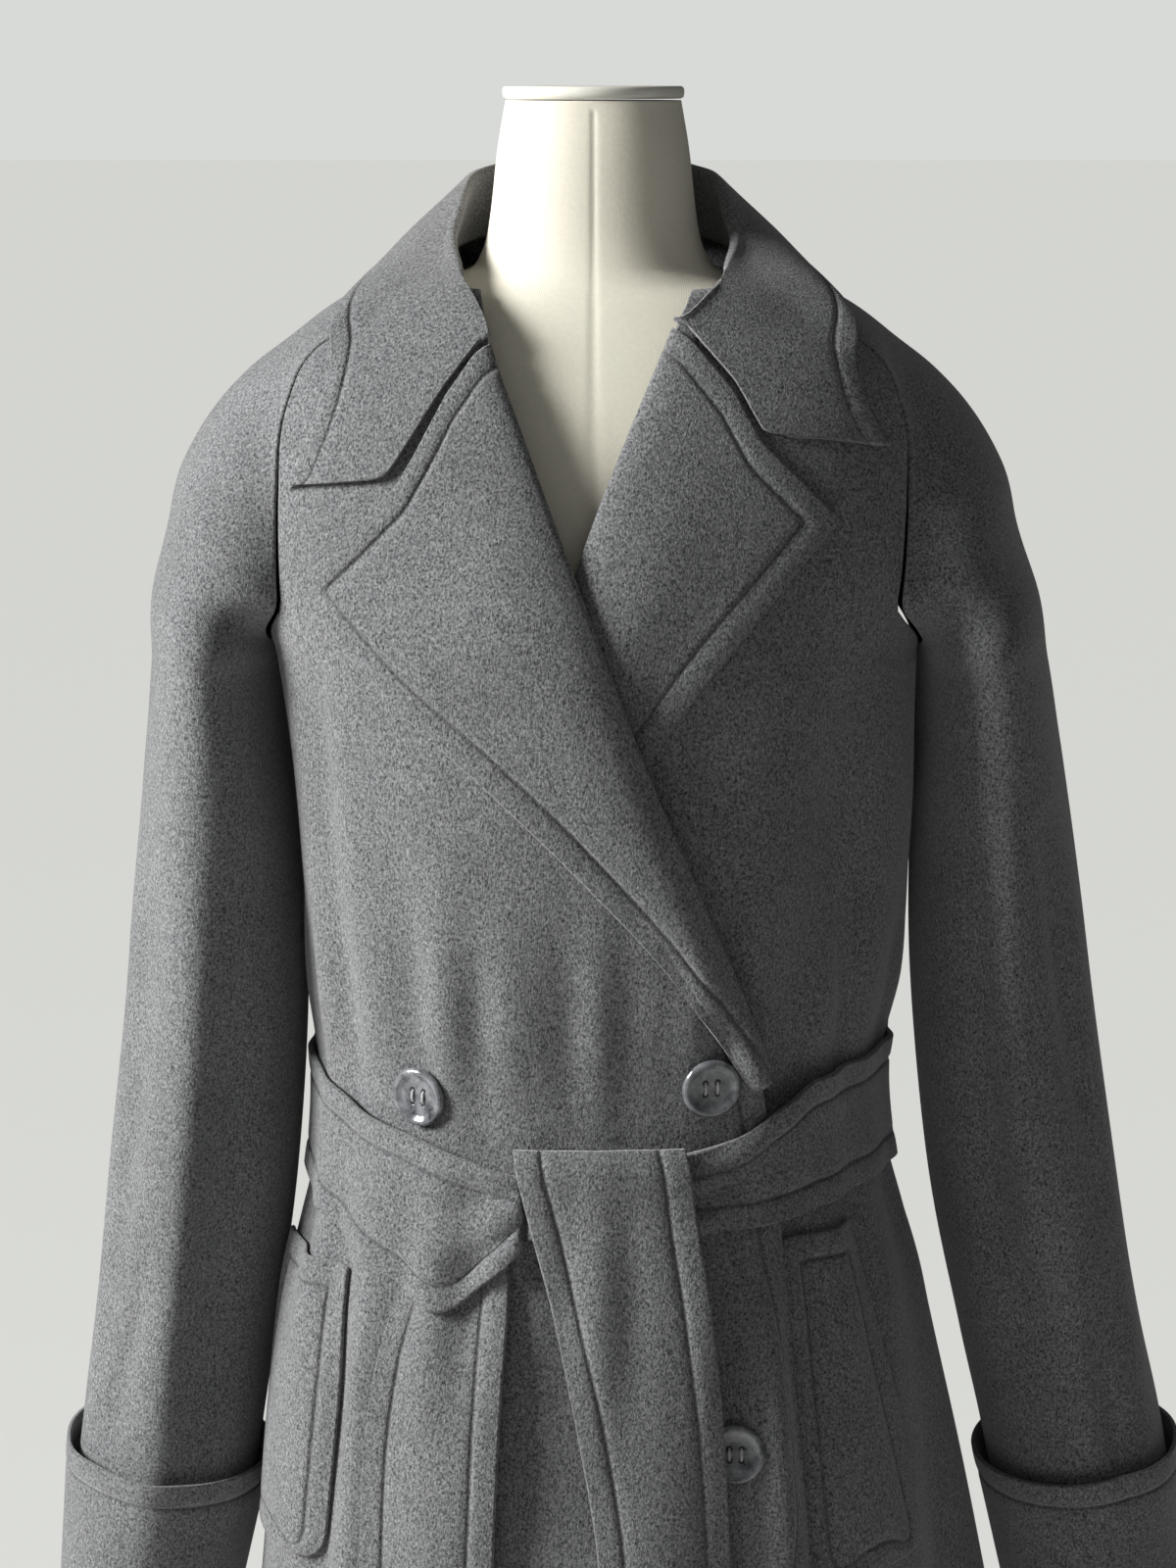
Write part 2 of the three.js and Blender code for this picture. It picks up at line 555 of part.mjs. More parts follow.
/**
 * A raglan sleeve is one piece: its two edges run down the front and back raglan seams to the armpit
 * and meet there in the seam under the arm.
 */
function sleeve(side) {
  const yokeRows = YOKE_HEIGHTS.length - 1;
  const rows = yokeRows + SLEEVE_LOWER_ROWS;
  const spans = SLEEVE_SECTIONS.map(({ span }, index) => ({ span, index }));
  return clothWall(rows, SLEEVE_COLUMNS, (row, column) => {
    const inYoke = row <= yokeRows;
    const at = inYoke
      ? ARMPIT_SECTION * (row / yokeRows)
      : lerp(ARMPIT_SECTION, SLEEVE_SECTIONS.length - 1, (row - yokeRows) / SLEEVE_LOWER_ROWS);
    const span = Math.min(readTable(spans, 'index', 'span', at), 179.6);
    const share = side > 0 ? column / SLEEVE_COLUMNS : 1 - column / SLEEVE_COLUMNS;
    const point = sleevePoint(side, at, lerp(-span, span, share), 0);
    if (!inYoke) return point;
    const z = YOKE_HEIGHTS[row];
    const seam = Math.min(sideSeam(z) + gapAngle, 90 - gapAngle);
    const clear = ARMPIT_CLEARANCE * smoothstep(row, yokeRows - 6, yokeRows);
    const frontLift = clear + (side < 0 ? rightFrontLift(-seam, z) : UNDER);
    const backSeam = 180 - seam - NECK_EASE * smoothstep(z, 1366, 1390);
    const pull = (end, angle, lift, weight) =>
      bodyPoint(angle, z, lift).sub(sleevePoint(side, at, end, 0)).multiplyScalar(weight);
    point.add(pull(-span, side * seam, frontLift, (1 - share) ** 3));
    return point.add(pull(span, side * backSeam, clear, share ** 3));
  });
}

/** A cuff is the sleeve's end turned back up over it, standing off a little at its upper rim. */
function cuff(side) {
  const rows = 3;
  return clothWall(rows, SLEEVE_COLUMNS, (row, column) => {
    const down = row / rows;
    const turn = lerp(-180, 180, side > 0 ? column / SLEEVE_COLUMNS : 1 - column / SLEEVE_COLUMNS);
    const lift = lerp(7.5, CLOTH + SEAM_GAP + 0.3, down);
    return sleevePoint(side, lerp(CUFF_SECTIONS.rim, CUFF_SECTIONS.fold, down), turn, lift);
  }, { closed: true });
}

// ---------------------------------------------------------------- belt

function beltWaist() {
  const [rows, columns] = [2, 36];
  const [start, end] = [BELT_COURSE[0].angle, BELT_COURSE[BELT_COURSE.length - 1].angle];
  return clothWall(rows, columns, (row, column) => {
    const angle = lerp(start, end, column / columns);
    const read = (name) => readTable(BELT_COURSE, 'angle', name, angle);
    return bodyPoint(angle, lerp(read('top'), read('bottom'), row / rows), read('lift'));
  }, { thickness: BELT_CLOTH });
}

/** The turn of the belt that its two sides come out of, under the end tied over the top. */
function beltKnot() {
  const [rows, columns] = [2, 4];
  return clothWall(rows, columns, (row, column) => {
    const angle = lerp(-13.2, 15.2, column / columns);
    return bodyPoint(angle, lerp(982, 940, row / rows), ON_RIGHT - 0.4);
  }, { thickness: 7.4 });
}

function beltTail(course) {
  const [rows, columns] = [12, 3];
  return clothWall(rows, columns, (row, column) => {
    const z = lerp(course[0].z, course[course.length - 1].z, row / rows);
    const read = (name) => readTable(course, 'z', name, z);
    return frontPoint(lerp(read('from'), read('to'), column / columns), z, read('lift'));
  }, { thickness: BELT_CLOTH });
}

// ---------------------------------------------------------------- pockets and buttons

/** A patch pocket lies on its front, with its two lower corners rounded. */
function pocket({ inner, outerTop, outerBottom, top, bottom, corner }, lift) {
  const drops = [0, 0.3, 0.6, 0.85, 0.94, 0.98, 1];
  const columns = 5;
  const mirrored = inner < 0;
  return clothWall(drops.length - 1, columns, (row, column) => {
    const z = lerp(top, bottom, drops[row]);
    const above = Math.min((z - bottom) / corner, 1);
    const inset = (corner * (1 - Math.sqrt(1 - (1 - above) ** 2))) / 3.4; // degrees
    const outer = lerp(outerTop, outerBottom, drops[row]);
    const edges = [inner + (mirrored ? -inset : inset), outer - (mirrored ? -inset : inset)];
    const share = mirrored ? 1 - column / columns : column / columns;
    const angle = lerp(edges[0], edges[1], share);
    return bodyPoint(angle, z, lift(angle, z));
  });
}

const toManifold = (geometry) => {
  const bare = geometry.clone();
  bare.deleteAttribute('normal');
  bare.deleteAttribute('uv');
  const merged = mergeVertices(bare, 1e-3);
  return new wasm.Manifold(new wasm.Mesh({
    numProp: 3,
    vertProperties: new Float32Array(merged.attributes.position.array),
    triVerts: new Uint32Array(merged.index.array),
  }));
};

const fromManifold = (manifold) => {
  const { vertProperties, triVerts } = manifold.getMesh();
  const geometry = new THREE.BufferGeometry();
  geometry.setAttribute('position', new THREE.BufferAttribute(vertProperties, 3));
  geometry.setIndex(new THREE.BufferAttribute(triVerts, 1));
  geometry.computeVertexNormals();
  return geometry;
};

/** Four-hole button on the XY plane with a raised rim and a dished face, facing +Z. */
function buttonGeometry() {
  const profile = [
    [0, 0],
    [BUTTON_RADIUS - 2, 0],
    [BUTTON_RADIUS, 1.6],
    [BUTTON_RADIUS - 0.8, BUTTON_HEIGHT - 0.6],
    [BUTTON_RADIUS - 2.4, BUTTON_HEIGHT],
    [BUTTON_RADIUS - 4.6, BUTTON_HEIGHT - 1.4],
    [0, BUTTON_HEIGHT - 1.8],
  ].map(([x, y]) => new THREE.Vector2(x, y));
  const disc = new THREE.LatheGeometry(profile, 16).rotateX(Math.PI / 2);
  let solid = toManifold(disc);
  for (const across of [-1, 1]) {
    for (const up of [-1, 1]) {
      const pin = new THREE.CylinderGeometry(BUTTON_HOLE.radius, BUTTON_HOLE.radius, 20, BUTTON_HOLE.sides);
      pin.rotateX(Math.PI / 2).translate(across * BUTTON_HOLE.offset, up * BUTTON_HOLE.offset, 0);
      solid = solid.subtract(toManifold(pin));
    }
  }
  return fromManifold(solid);
}

/** Places a button flat on the right front, facing out from the cloth. */
function placeButton(mesh, { x, z, rest }) {
  const lift = OVER + CLOTH + rest;
  const centre = frontPoint(x, z, lift);
  const right = frontPoint(x + 12, z, lift).sub(frontPoint(x - 12, z, lift));
  const up = frontPoint(x, z + 12, lift).sub(frontPoint(x, z - 12, lift)).normalize();
  const facing = right.clone().cross(up).normalize();
  right.crossVectors(up, facing).normalize();
  mesh.position.copy(centre);
  mesh.setRotationFromMatrix(new THREE.Matrix4().makeBasis(right, up, facing));
}

// ---------------------------------------------------------------- dress form and stand

function formTorso() {
  const [rows, columns] = [18, 20];
  const points = [];
  for (let row = 0; row <= rows; row += 1) {
    const z = lerp(FORM_TOP, FORM_BOTTOM, (row / rows) ** 1.25);
    const read = (column) => readTable(FORM_SECTIONS, 'z', column, z);
    for (let column = 0; column < columns; column += 1) {
      const angle = (360 * column) / columns;
      const radius = ovalRadius(angle, read('side'), read('front'), read('back'));
      points.push(new THREE.Vector3(
        radius * Math.sin(radians(angle)), -radius * Math.cos(radians(angle)), z,
      ));
    }
  }
  const faces = [];
  const index = (row, column) => row * columns + (column % columns);
  for (let row = 0; row < rows; row += 1) {
    for (let column = 0; column < columns; column += 1) {
      const [a, b] = [index(row, column), index(row, column + 1)];
      const [c, d] = [index(row + 1, column), index(row + 1, column + 1)];
      faces.push(a, c, d, a, d, b);
    }
  }
  for (let column = 1; column < columns - 1; column += 1) {
    faces.push(index(0, 0), index(0, column), index(0, column + 1));
    faces.push(index(rows, 0), index(rows, column + 1), index(rows, column));
  }
  return indexedGeometry(points, faces);
}

const turned = (profile, sides) =>
  new THREE.LatheGeometry(profile.map(([x, y]) => new THREE.Vector2(x, y)), sides).rotateX(Math.PI / 2);

function neckCap() {
  const bottom = NECK_CAP.top - NECK_CAP.height;
  return turned([
    [0, bottom + SEAM_GAP],
    [NECK_CAP.radius, bottom + SEAM_GAP],
    [NECK_CAP.radius + 0.6, bottom + 2],
    [NECK_CAP.radius + 0.6, NECK_CAP.top - 1],
    [NECK_CAP.radius - 0.6, NECK_CAP.top],
    [0, NECK_CAP.top],
  ], 24);
}

const standPole = () => turned([
  [0, BASE.height + SEAM_GAP],
  [POLE_RADIUS, BASE.height + SEAM_GAP],
  [POLE_RADIUS, FORM_BOTTOM - SEAM_GAP],
  [0, FORM_BOTTOM - SEAM_GAP],
], 16);

const standBase = () => turned([
  [0, 0],
  [BASE.radius - BASE.edge, 0],
  [BASE.radius, BASE.edge],
  [BASE.radius, BASE.height - BASE.edge],
  [BASE.radius - BASE.edge, BASE.height],
  [0, BASE.height],
], 36);

// ---------------------------------------------------------------- assembly

const solid = (name, geometry, material) => {
  const mesh = new THREE.Mesh(geometry, material);
  mesh.name = name;
  return mesh;
};

const stand = new THREE.Group();
stand.add(
  solid('stand_base', standBase(), steel),
  solid('stand_pole', standPole(), steel),
  solid('form_torso', formTorso(), linen),
  solid('neck_cap', neckCap(), capPaint),
);

const coat = new THREE.Group();
const lapelOnRight = (angle, z) => rightFrontLift(angle, z) + LAYER + 2 * LAPEL_EASE;
const pocketOnRight = (angle, z) => rightFrontLift(angle, z) + CLOTH + 1.4;
coat.add(
  solid('back', back(), wool),
  solid('front_left', leftFront(), wool),
  solid('front_right', rightFront(), wool),
  solid('lapel_left', lapel(LEFT_LAPEL, () => ON_LEFT + LAPEL_EASE / 2, 'left'), wool),
  solid('lapel_right', lapel(RIGHT_LAPEL, lapelOnRight, 'right'), wool),
  solid('collar', collar(), wool),
  solid('sleeve_left', sleeve(1), wool),
  solid('sleeve_right', sleeve(-1), wool),
  solid('cuff_left', cuff(1), wool),
  solid('cuff_right', cuff(-1), wool),
  solid('pocket_left', pocket(LEFT_POCKET, () => CLOTH + 0.8), wool),
  solid('pocket_right', pocket(RIGHT_POCKET, pocketOnRight), wool),
  solid('belt_waist', beltWaist(), wool),
  solid('belt_knot', beltKnot(), wool),
  solid('belt_tail_over', beltTail(TAIL_OVER), wool),
  solid('belt_tail_under', beltTail(TAIL_UNDER), wool),
);

const disc = buttonGeometry();
for (const button of BUTTONS) {
  const mesh = solid(button.name, disc, horn);
  placeButton(mesh, button);
  coat.add(mesh);
}

const part = new THREE.Group();
part.add(stand, coat);

export default part;
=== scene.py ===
"""Blender model of a long double-breasted wool coat on a limbless dress form.

Shapes are worked out in millimetres in the frame of the CAD model: Z up, the coat faces -Y, the
wearer's right is at -X. Angles are degrees round the Z axis: 0 is the centre front, 90 the
wearer's left side. Each cloth piece is a grid of points on a surface given by formulas, made a
thin closed wall. The wall's edge is rounded, and a sewn line follows the edges that have one.
"""

import logging
import math
from dataclasses import dataclass
from enum import Enum
from functools import partial
from typing import Callable

import bmesh
import bpy
import numpy as np
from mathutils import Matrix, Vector

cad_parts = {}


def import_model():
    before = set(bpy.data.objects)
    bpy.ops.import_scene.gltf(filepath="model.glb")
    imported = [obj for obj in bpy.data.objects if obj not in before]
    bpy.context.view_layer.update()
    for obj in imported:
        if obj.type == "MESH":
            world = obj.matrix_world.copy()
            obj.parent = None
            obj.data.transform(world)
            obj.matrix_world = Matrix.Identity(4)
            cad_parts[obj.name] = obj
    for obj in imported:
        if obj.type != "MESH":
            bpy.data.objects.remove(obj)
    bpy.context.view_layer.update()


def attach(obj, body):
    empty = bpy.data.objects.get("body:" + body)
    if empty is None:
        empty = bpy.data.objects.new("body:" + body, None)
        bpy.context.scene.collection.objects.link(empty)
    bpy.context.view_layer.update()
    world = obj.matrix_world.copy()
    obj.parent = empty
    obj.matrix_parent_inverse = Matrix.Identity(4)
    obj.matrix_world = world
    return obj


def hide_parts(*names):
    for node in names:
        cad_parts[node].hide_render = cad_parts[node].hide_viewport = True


LOG = logging.getLogger("coat")

Array = np.ndarray
Place = Callable[[Array, Array], Array]

MILLIMETRE = 0.001

# Sizes shared by the coat's pieces, as in the CAD model.
CLOTH = 2.2
BELT_CLOTH = 3.0
SEAM_GAP = 0.5
GAP_ANGLE = SEAM_GAP / 2 / 2.6
LAYER = 3.6
OVER = 2 * LAYER + 1.4
ON_LEFT = LAYER
ON_RIGHT = OVER + LAYER
OVAL = 2.3
STEEPEST = 2.4
HEM = 235.0
ARMPIT = 1215.0
NECK = 1402.0
NECK_RISE = 22.0
NECK_EASE = 2.0
ARMPIT_CLEARANCE = 5.2
ARMPIT_SECTION = 6
LAPEL_EASE = 0.8
COLLAR_EASE = 1.4
COLLAR_SWELL = 5.0
ROLL_REACH = 2.6  # how far a lapel's roll passes the edge of its front
ROLL_WIDTH = 7.0  # over which it turns back
STITCH_INSET = 13.5  # of the sewn line from an edge
NO_EDGE = 60.0  # stands for the distance from an edge on a piece with no sewn edge
SWELL = 0.35  # of the cloth between an edge and its sewn line
SUNK_LINE = 0.95  # dip at a sewn line
FOLD_DEPTH = 1.4  # all folds of the sleeves are this much deeper than their rise says
YOKE_SHARE = 0.42  # of a sleeve's rows, down to the armpit
STAND_SHARE = 0.2  # of the collar's rows, up to its roll
BELT_START, BELT_END = 15.8, 346.4  # angles on either side of the knot
BUTTON_HOLE_OFFSET = 3.1
TORSO_TOP, TORSO_BOTTOM = 1493.0, 745.0
EDGE_STEPS = np.array([0, 1.2, 3.5, 7.5, 10.8, 12.3, 13.1, 13.9, 14.7, 16.2, 20])


class Edge(Enum):
    """Sides of a piece's grid."""

    TOP = "top"
    BOTTOM = "bottom"
    LEFT = "left"
    RIGHT = "right"


class Held(Enum):
    """How a piece of cloth lies."""

    DRAPED = "draped"
    HUNG = "hung"
    FOLDED = "folded"
    LAID = "laid"


# ---------------------------------------------------------------- tables and small maths


def smoothstep(value: Array, low: float, high: float) -> Array:
    """Smooth step: 0 below low, 1 above high, 3s^2 - 2s^3 of the share s between them."""
    share = np.clip((value - low) / (high - low), 0, 1)
    return share * share * (3 - 2 * share)


def lerp(start: Array, end: Array, share: Array) -> Array:
    """Point at a share of the way from start to end."""
    return start + (end - start) * share


def bump(distance: Array, spread: float) -> Array:
    """Bell curve exp(-(distance / spread)^2)."""
    return np.exp(-((distance / spread) ** 2))


def turn_between(a: Array, b: float) -> Array:
    """Angle from b to a, between -180 and 180 degrees."""
    return (a - b + 540) % 360 - 180


def soften(points: Array, times: int, axis: int = 0) -> Array:
    """Rounds creases: each inner point moves to a quarter, half, quarter mean along an axis."""
    points = np.moveaxis(points.copy(), axis, 0)
    for _ in range(times):
        points[1:-1] = (points[:-2] + 2 * points[1:-1] + points[2:]) / 4
    return np.moveaxis(points, 0, axis)


class Table:
    """Smooth curves through the rows of a table, without overshoot between them."""

    def __init__(self, names: str, rows: list[tuple[float, ...]]) -> None:
        """Args: names: the columns, of which the first is the key; rows: their values."""
        data = np.array(sorted(rows), float)
        self.keys = data[:, 0]
        self.columns = dict(zip(names.split()[1:], data.T[1:]))

    def read(self, name: str, at: Array) -> Array:
        """Value of a column where the key is `at`.

        A cubic in each stretch, whose end slopes are harmonic means of the neighbouring ones,
        and level where the neighbours turn back.
        """
        keys, values = self.keys, self.columns[name]
        at = np.clip(at, keys[0], keys[-1])
        width = np.diff(keys)
        slope = np.diff(values) / width
        index = np.clip(np.searchsorted(keys, at, side="right") - 1, 0, len(slope) - 1)
        before = np.concatenate([slope[:1], slope[:-1]])
        after = np.concatenate([slope[1:], slope[-1:]])

        def steady(other: Array) -> Array:
            """Harmonic mean of a stretch's slope and its neighbour's, or level."""
            total = np.where(other + slope == 0, 1, other + slope)
            return np.where(other * slope <= 0, 0, 2 * other * slope / total)

        share = (at - keys[index]) / width[index]
        square, cube = share**2, share**3
        return (
            values[index] * (2 * cube - 3 * square + 1)
            + values[index + 1] * (3 * square - 2 * cube)
            + width[index]
            * (
                steady(before)[index] * (cube - 2 * square + share)
                + steady(after)[index] * (cube - square)
            )
        )


def along_line(points: list[tuple[float, float]], share: Array) -> tuple[Array, Array]:
    """X and Z at a share of the way along a polyline, each stretch counting the same."""
    knots = np.linspace(0, 1, len(points))
    return tuple(np.interp(share, knots, [p[i] for p in points]) for i in (0, 1))


def polar(angle: Array, radius: Array, z: Array) -> Array:
    """Point at an angle, a radius and a height."""
    turn = np.radians(angle)
    return np.stack(np.broadcast_arrays(radius * np.sin(turn), -radius * np.cos(turn), z), -1)


def oval_radius(angle: Array, side: Array, front: Array, back: Array) -> Array:
    """Radius of a superellipse with its own half sizes to the side, front and back."""
    turn = np.radians(angle)
    deep = np.abs(np.cos(turn)) / np.where(np.cos(turn) > 0, front, back)
    return ((np.abs(np.sin(turn)) / side) ** OVAL + deep**OVAL) ** (-1 / OVAL)


# ---------------------------------------------------------------- the coat's body


@dataclass(frozen=True)
class Fold:
    """A long soft fold of the body: a ridge if rise is above 0, a trough below it.

    Its angle leans by `lean` degrees for each 100 mm down from its top, and it fades over
    `fade` millimetres at its top and, where it ends above the hem, at its bottom.
    """

    angle: float
    spread: float
    rise: float
    bottom: float
    top: float
    fade: float = 120.0
    lean: float = 0.0

    def at(self, angle: Array, z: Array) -> Array:
        """Rise of this fold at angles and heights."""
        centre = self.angle + self.lean * (self.top - z) / 100
        share = 1 - smoothstep(z, self.top - self.fade, self.top)
        if self.bottom > HEM:
            share = share * smoothstep(z, self.bottom, self.bottom + self.fade)
        return self.rise * share * bump(turn_between(angle, centre), self.spread)


class CoatBody:
    """Surface of the coat's body, from which every piece on it is measured."""

    sections = Table(
        "z right left front back",
        [
            (1440, 60, 60, 60, 72),
            (1415, 78, 78, 64, 82),
            (1390, 130, 128, 78, 98),
            (1360, 172, 172, 93, 108),
            (1320, 184, 184, 109, 118),
            (1270, 176, 180, 124, 122),
            (1215, 158, 164, 134, 122),
            (1130, 146, 160, 136, 116),
            (1050, 144, 156, 130, 108),
            (1000, 140, 149, 126, 104),
            (960, 142, 152, 128, 108),
            (880, 158, 172, 142, 124),
            (727, 176, 204, 160, 142),
            (500, 198, 242, 180, 168),
            (235, 224, 268, 200, 194),
        ],
    )
    raglan = Table(
        "z angle",
        [(1402, 46), (1388, 63), (1372, 69), (1345, 68), (1300, 65), (1250, 63), (1232, 72), (1215, 90)],
    )
    folds = [
        Fold(53, 9, -9, 1022, 1262),
        Fold(75, 9, 5, 1022, 1262),
        Fold(-64, 8, 5, 1022, 1262),
        Fold(-56, 4, -3.4, 1030, 1250, 90, 1.5),
        Fold(-49, 5, 3.6, 1024, 1240, 90, -1.5),
        Fold(-38, 5, -2.2, 1020, 1180, 70, 1),
        Fold(36, 6, 2.6, 1022, 1200, 80, -2),
        Fold(28, 5, -2.2, 1020, 1140, 60, 1),
        Fold(140, 12, -5, 1022, 1262),
        Fold(215, 12, -6, 1022, 1262),
        Fold(163, 6, 3, 1022, 1180, 80, 2),
        Fold(192, 6, 3.4, 1022, 1200, 80, -2),
        Fold(-98, 7, -7, 0, 925, 285),
        Fold(70, 7, -13, 0, 925, 285),
        Fold(80, 7, 8, 0, 925, 285),
        Fold(94, 7, -4, 0, 925, 285),
        Fold(108, 10, -9, 0, 925, 285),
        Fold(130, 11, 10, 0, 925, 285),
        Fold(153, 10, -8, 0, 925, 285),
        Fold(176, 11, 8, 0, 925, 285),
        Fold(201, 10, -9, 0, 925, 285),
        Fold(224, 11, 10, 0, 925, 285),
        Fold(248, 9, -7, 0, 925, 285),
        Fold(-43, 3.4, 6.6, 0, 945, 110, -0.6),
        Fold(-49, 3.2, -6, 0, 945, 110, -0.6),
        Fold(-33, 5, -2.4, 560, 940, 150, -1),
        Fold(31, 4.2, 8, 700, 955, 110, 0.6),
        Fold(36, 2.8, -6, 720, 950, 90, 0.5),
        Fold(22, 5, -2.6, 600, 945, 130, 0.4),
        Fold(48, 6, 3, 640, 940, 130, 0.5),
        Fold(8, 7, 2.4, 300, 900, 200, 0.3),
        Fold(-12, 8, -2.6, 0, 900, 220, -0.2),
    ]

    def fold_rise(self, angle: Array, z: Array) -> Array:
        """Sum of the folds, and of the uneven gathers that the belt pulls in above and below."""
        turn = np.radians(angle)
        gathers = np.sin(23 * turn + 0.8) + 0.8 * np.sin(31 * turn + 2.1) * np.sin(5 * turn + 0.4)
        near_belt = bump(z - 1052, 44) + bump(z - 905, 52)
        below_chest = 1 - smoothstep(z, 1180, 1280)
        wander = 1.1 * np.sin(7 * turn + z / 61) * np.sin(z / 83 + 1.3) * below_chest
        return sum(fold.at(angle, z) for fold in self.folds) + 1.9 * gathers * near_belt + wander

    def radius(self, angle: Array, z: Array) -> Array:
        """Radius of the body, folds and all."""
        right = turn_between(angle, 0) < 0
        side = np.where(right, self.sections.read("right", z), self.sections.read("left", z))
        front, back = self.sections.read("front", z), self.sections.read("back", z)
        return oval_radius(angle, side, front, back) + self.fold_rise(angle, z)

    def lifted(self, angle: Array, z: Array, lift: Array) -> Array:
        """Radius moved out by lift, measured square to the slope of the surface."""
        slope = (self.radius(angle, z + 2) - self.radius(angle, z - 2)) / 4
        return self.radius(angle, z) + lift * np.hypot(1, np.minimum(np.abs(slope), STEEPEST))

    def point(self, angle: Array, z: Array, lift: Array) -> Array:
        """Point of the body moved out by lift."""
        return polar(angle, self.lifted(angle, z, lift), z)

    def angle_at(self, x: Array, z: Array) -> Array:
        """Angle on the front where the surface has a given X, by halving an interval."""
        x, z = np.broadcast_arrays(np.asarray(x, float), np.asarray(z, float))
        low, high = np.full(x.shape, -90.0), np.full(x.shape, 90.0)
        for _ in range(24):
            middle = (low + high) / 2
            less = self.radius(middle, z) * np.sin(np.radians(middle)) < x
            low, high = np.where(less, middle, low), np.where(less, high, middle)
        return (low + high) / 2

    def front_point(self, x: Array, z: Array, lift: Array) -> Array:
        """Point of the front at a given X and height, moved out by lift."""
        return self.point(self.angle_at(x, z), z, lift)

    def side_seam(self, z: Array) -> Array:
        """Half angle of the fronts: the raglan seam above the armpit, the side seam below."""
        return np.where(z > ARMPIT, self.raglan.read("angle", z), 90.0)

    @staticmethod
    def right_lift(angle: Array, z: Array) -> Array:
        """Lift of the right front, which lies over the left one in the middle."""
        return OVER * smoothstep(angle, -88, -60) * (1 - smoothstep(z, 1230, 1330))


BODY = CoatBody()


# ---------------------------------------------------------------- meshes


def make_object(name: str, points: Array, quads: Array, uv: Array | None = None) -> bpy.types.Object:
    """Mesh object from points in millimetres, shaded smooth.

    Args: name: its name; points: the places; quads: point numbers; uv: a place on the cut for
        each point, in metres.
    Returns: the object, linked to the scene.
    """
    mesh = bpy.data.meshes.new(name)
    mesh.vertices.add(len(points))
    mesh.vertices.foreach_set("co", (points * MILLIMETRE).astype(np.float32).ravel())
    mesh.loops.add(quads.size)
    mesh.loops.foreach_set("vertex_index", quads.astype(np.int32).ravel())
    mesh.polygons.add(len(quads))
    mesh.polygons.foreach_set("loop_start", np.arange(0, quads.size, 4, dtype=np.int32))
    mesh.polygons.foreach_set("use_smooth", np.ones(len(quads), bool))
    mesh.update(calc_edges=True)
    if uv is not None:
        layer = mesh.uv_layers.new(name="cut")
        layer.data.foreach_set("uv", uv[quads.ravel()].astype(np.float32).ravel())
    mesh.validate()
    made = bpy.data.objects.new(name, mesh)
    bpy.context.scene.collection.objects.link(made)
    return made


def grid_quads(rows: int, columns: int, closed: bool) -> Array:
    """Quads of a grid of points, turned so that (down x right) is the face's normal."""
    across = columns if closed else columns - 1
    row, column = np.meshgrid(np.arange(rows - 1), np.arange(across), indexing="ij")
    right = (column + 1) % columns
    corners = [row * columns + column, (row + 1) * columns + column]
    corners += [(row + 1) * columns + right, row * columns + right]
    return np.stack(corners, -1).reshape(-1, 4)


def lengths(points: Array, axis: int) -> Array:
    """Distance along the grid from its first row or column."""
    step = np.linalg.norm(np.diff(points, axis=axis), axis=-1)
    pad = [(0, 0), (0, 0)]
    pad[axis] = (1, 0)
    return np.pad(np.cumsum(step, axis=axis), pad)


def normals_of(points: Array, closed: bool) -> Array:
    """Unit normals of a grid: (down x right) of the neighbouring points."""
    down = np.gradient(points, axis=0)
    if closed:
        right = np.roll(points, -1, axis=1) - np.roll(points, 1, axis=1)
    else:
        right = np.gradient(points, axis=1)
    normal = np.cross(down, right)
    return normal / np.maximum(np.linalg.norm(normal, axis=-1, keepdims=True), 1e-9)


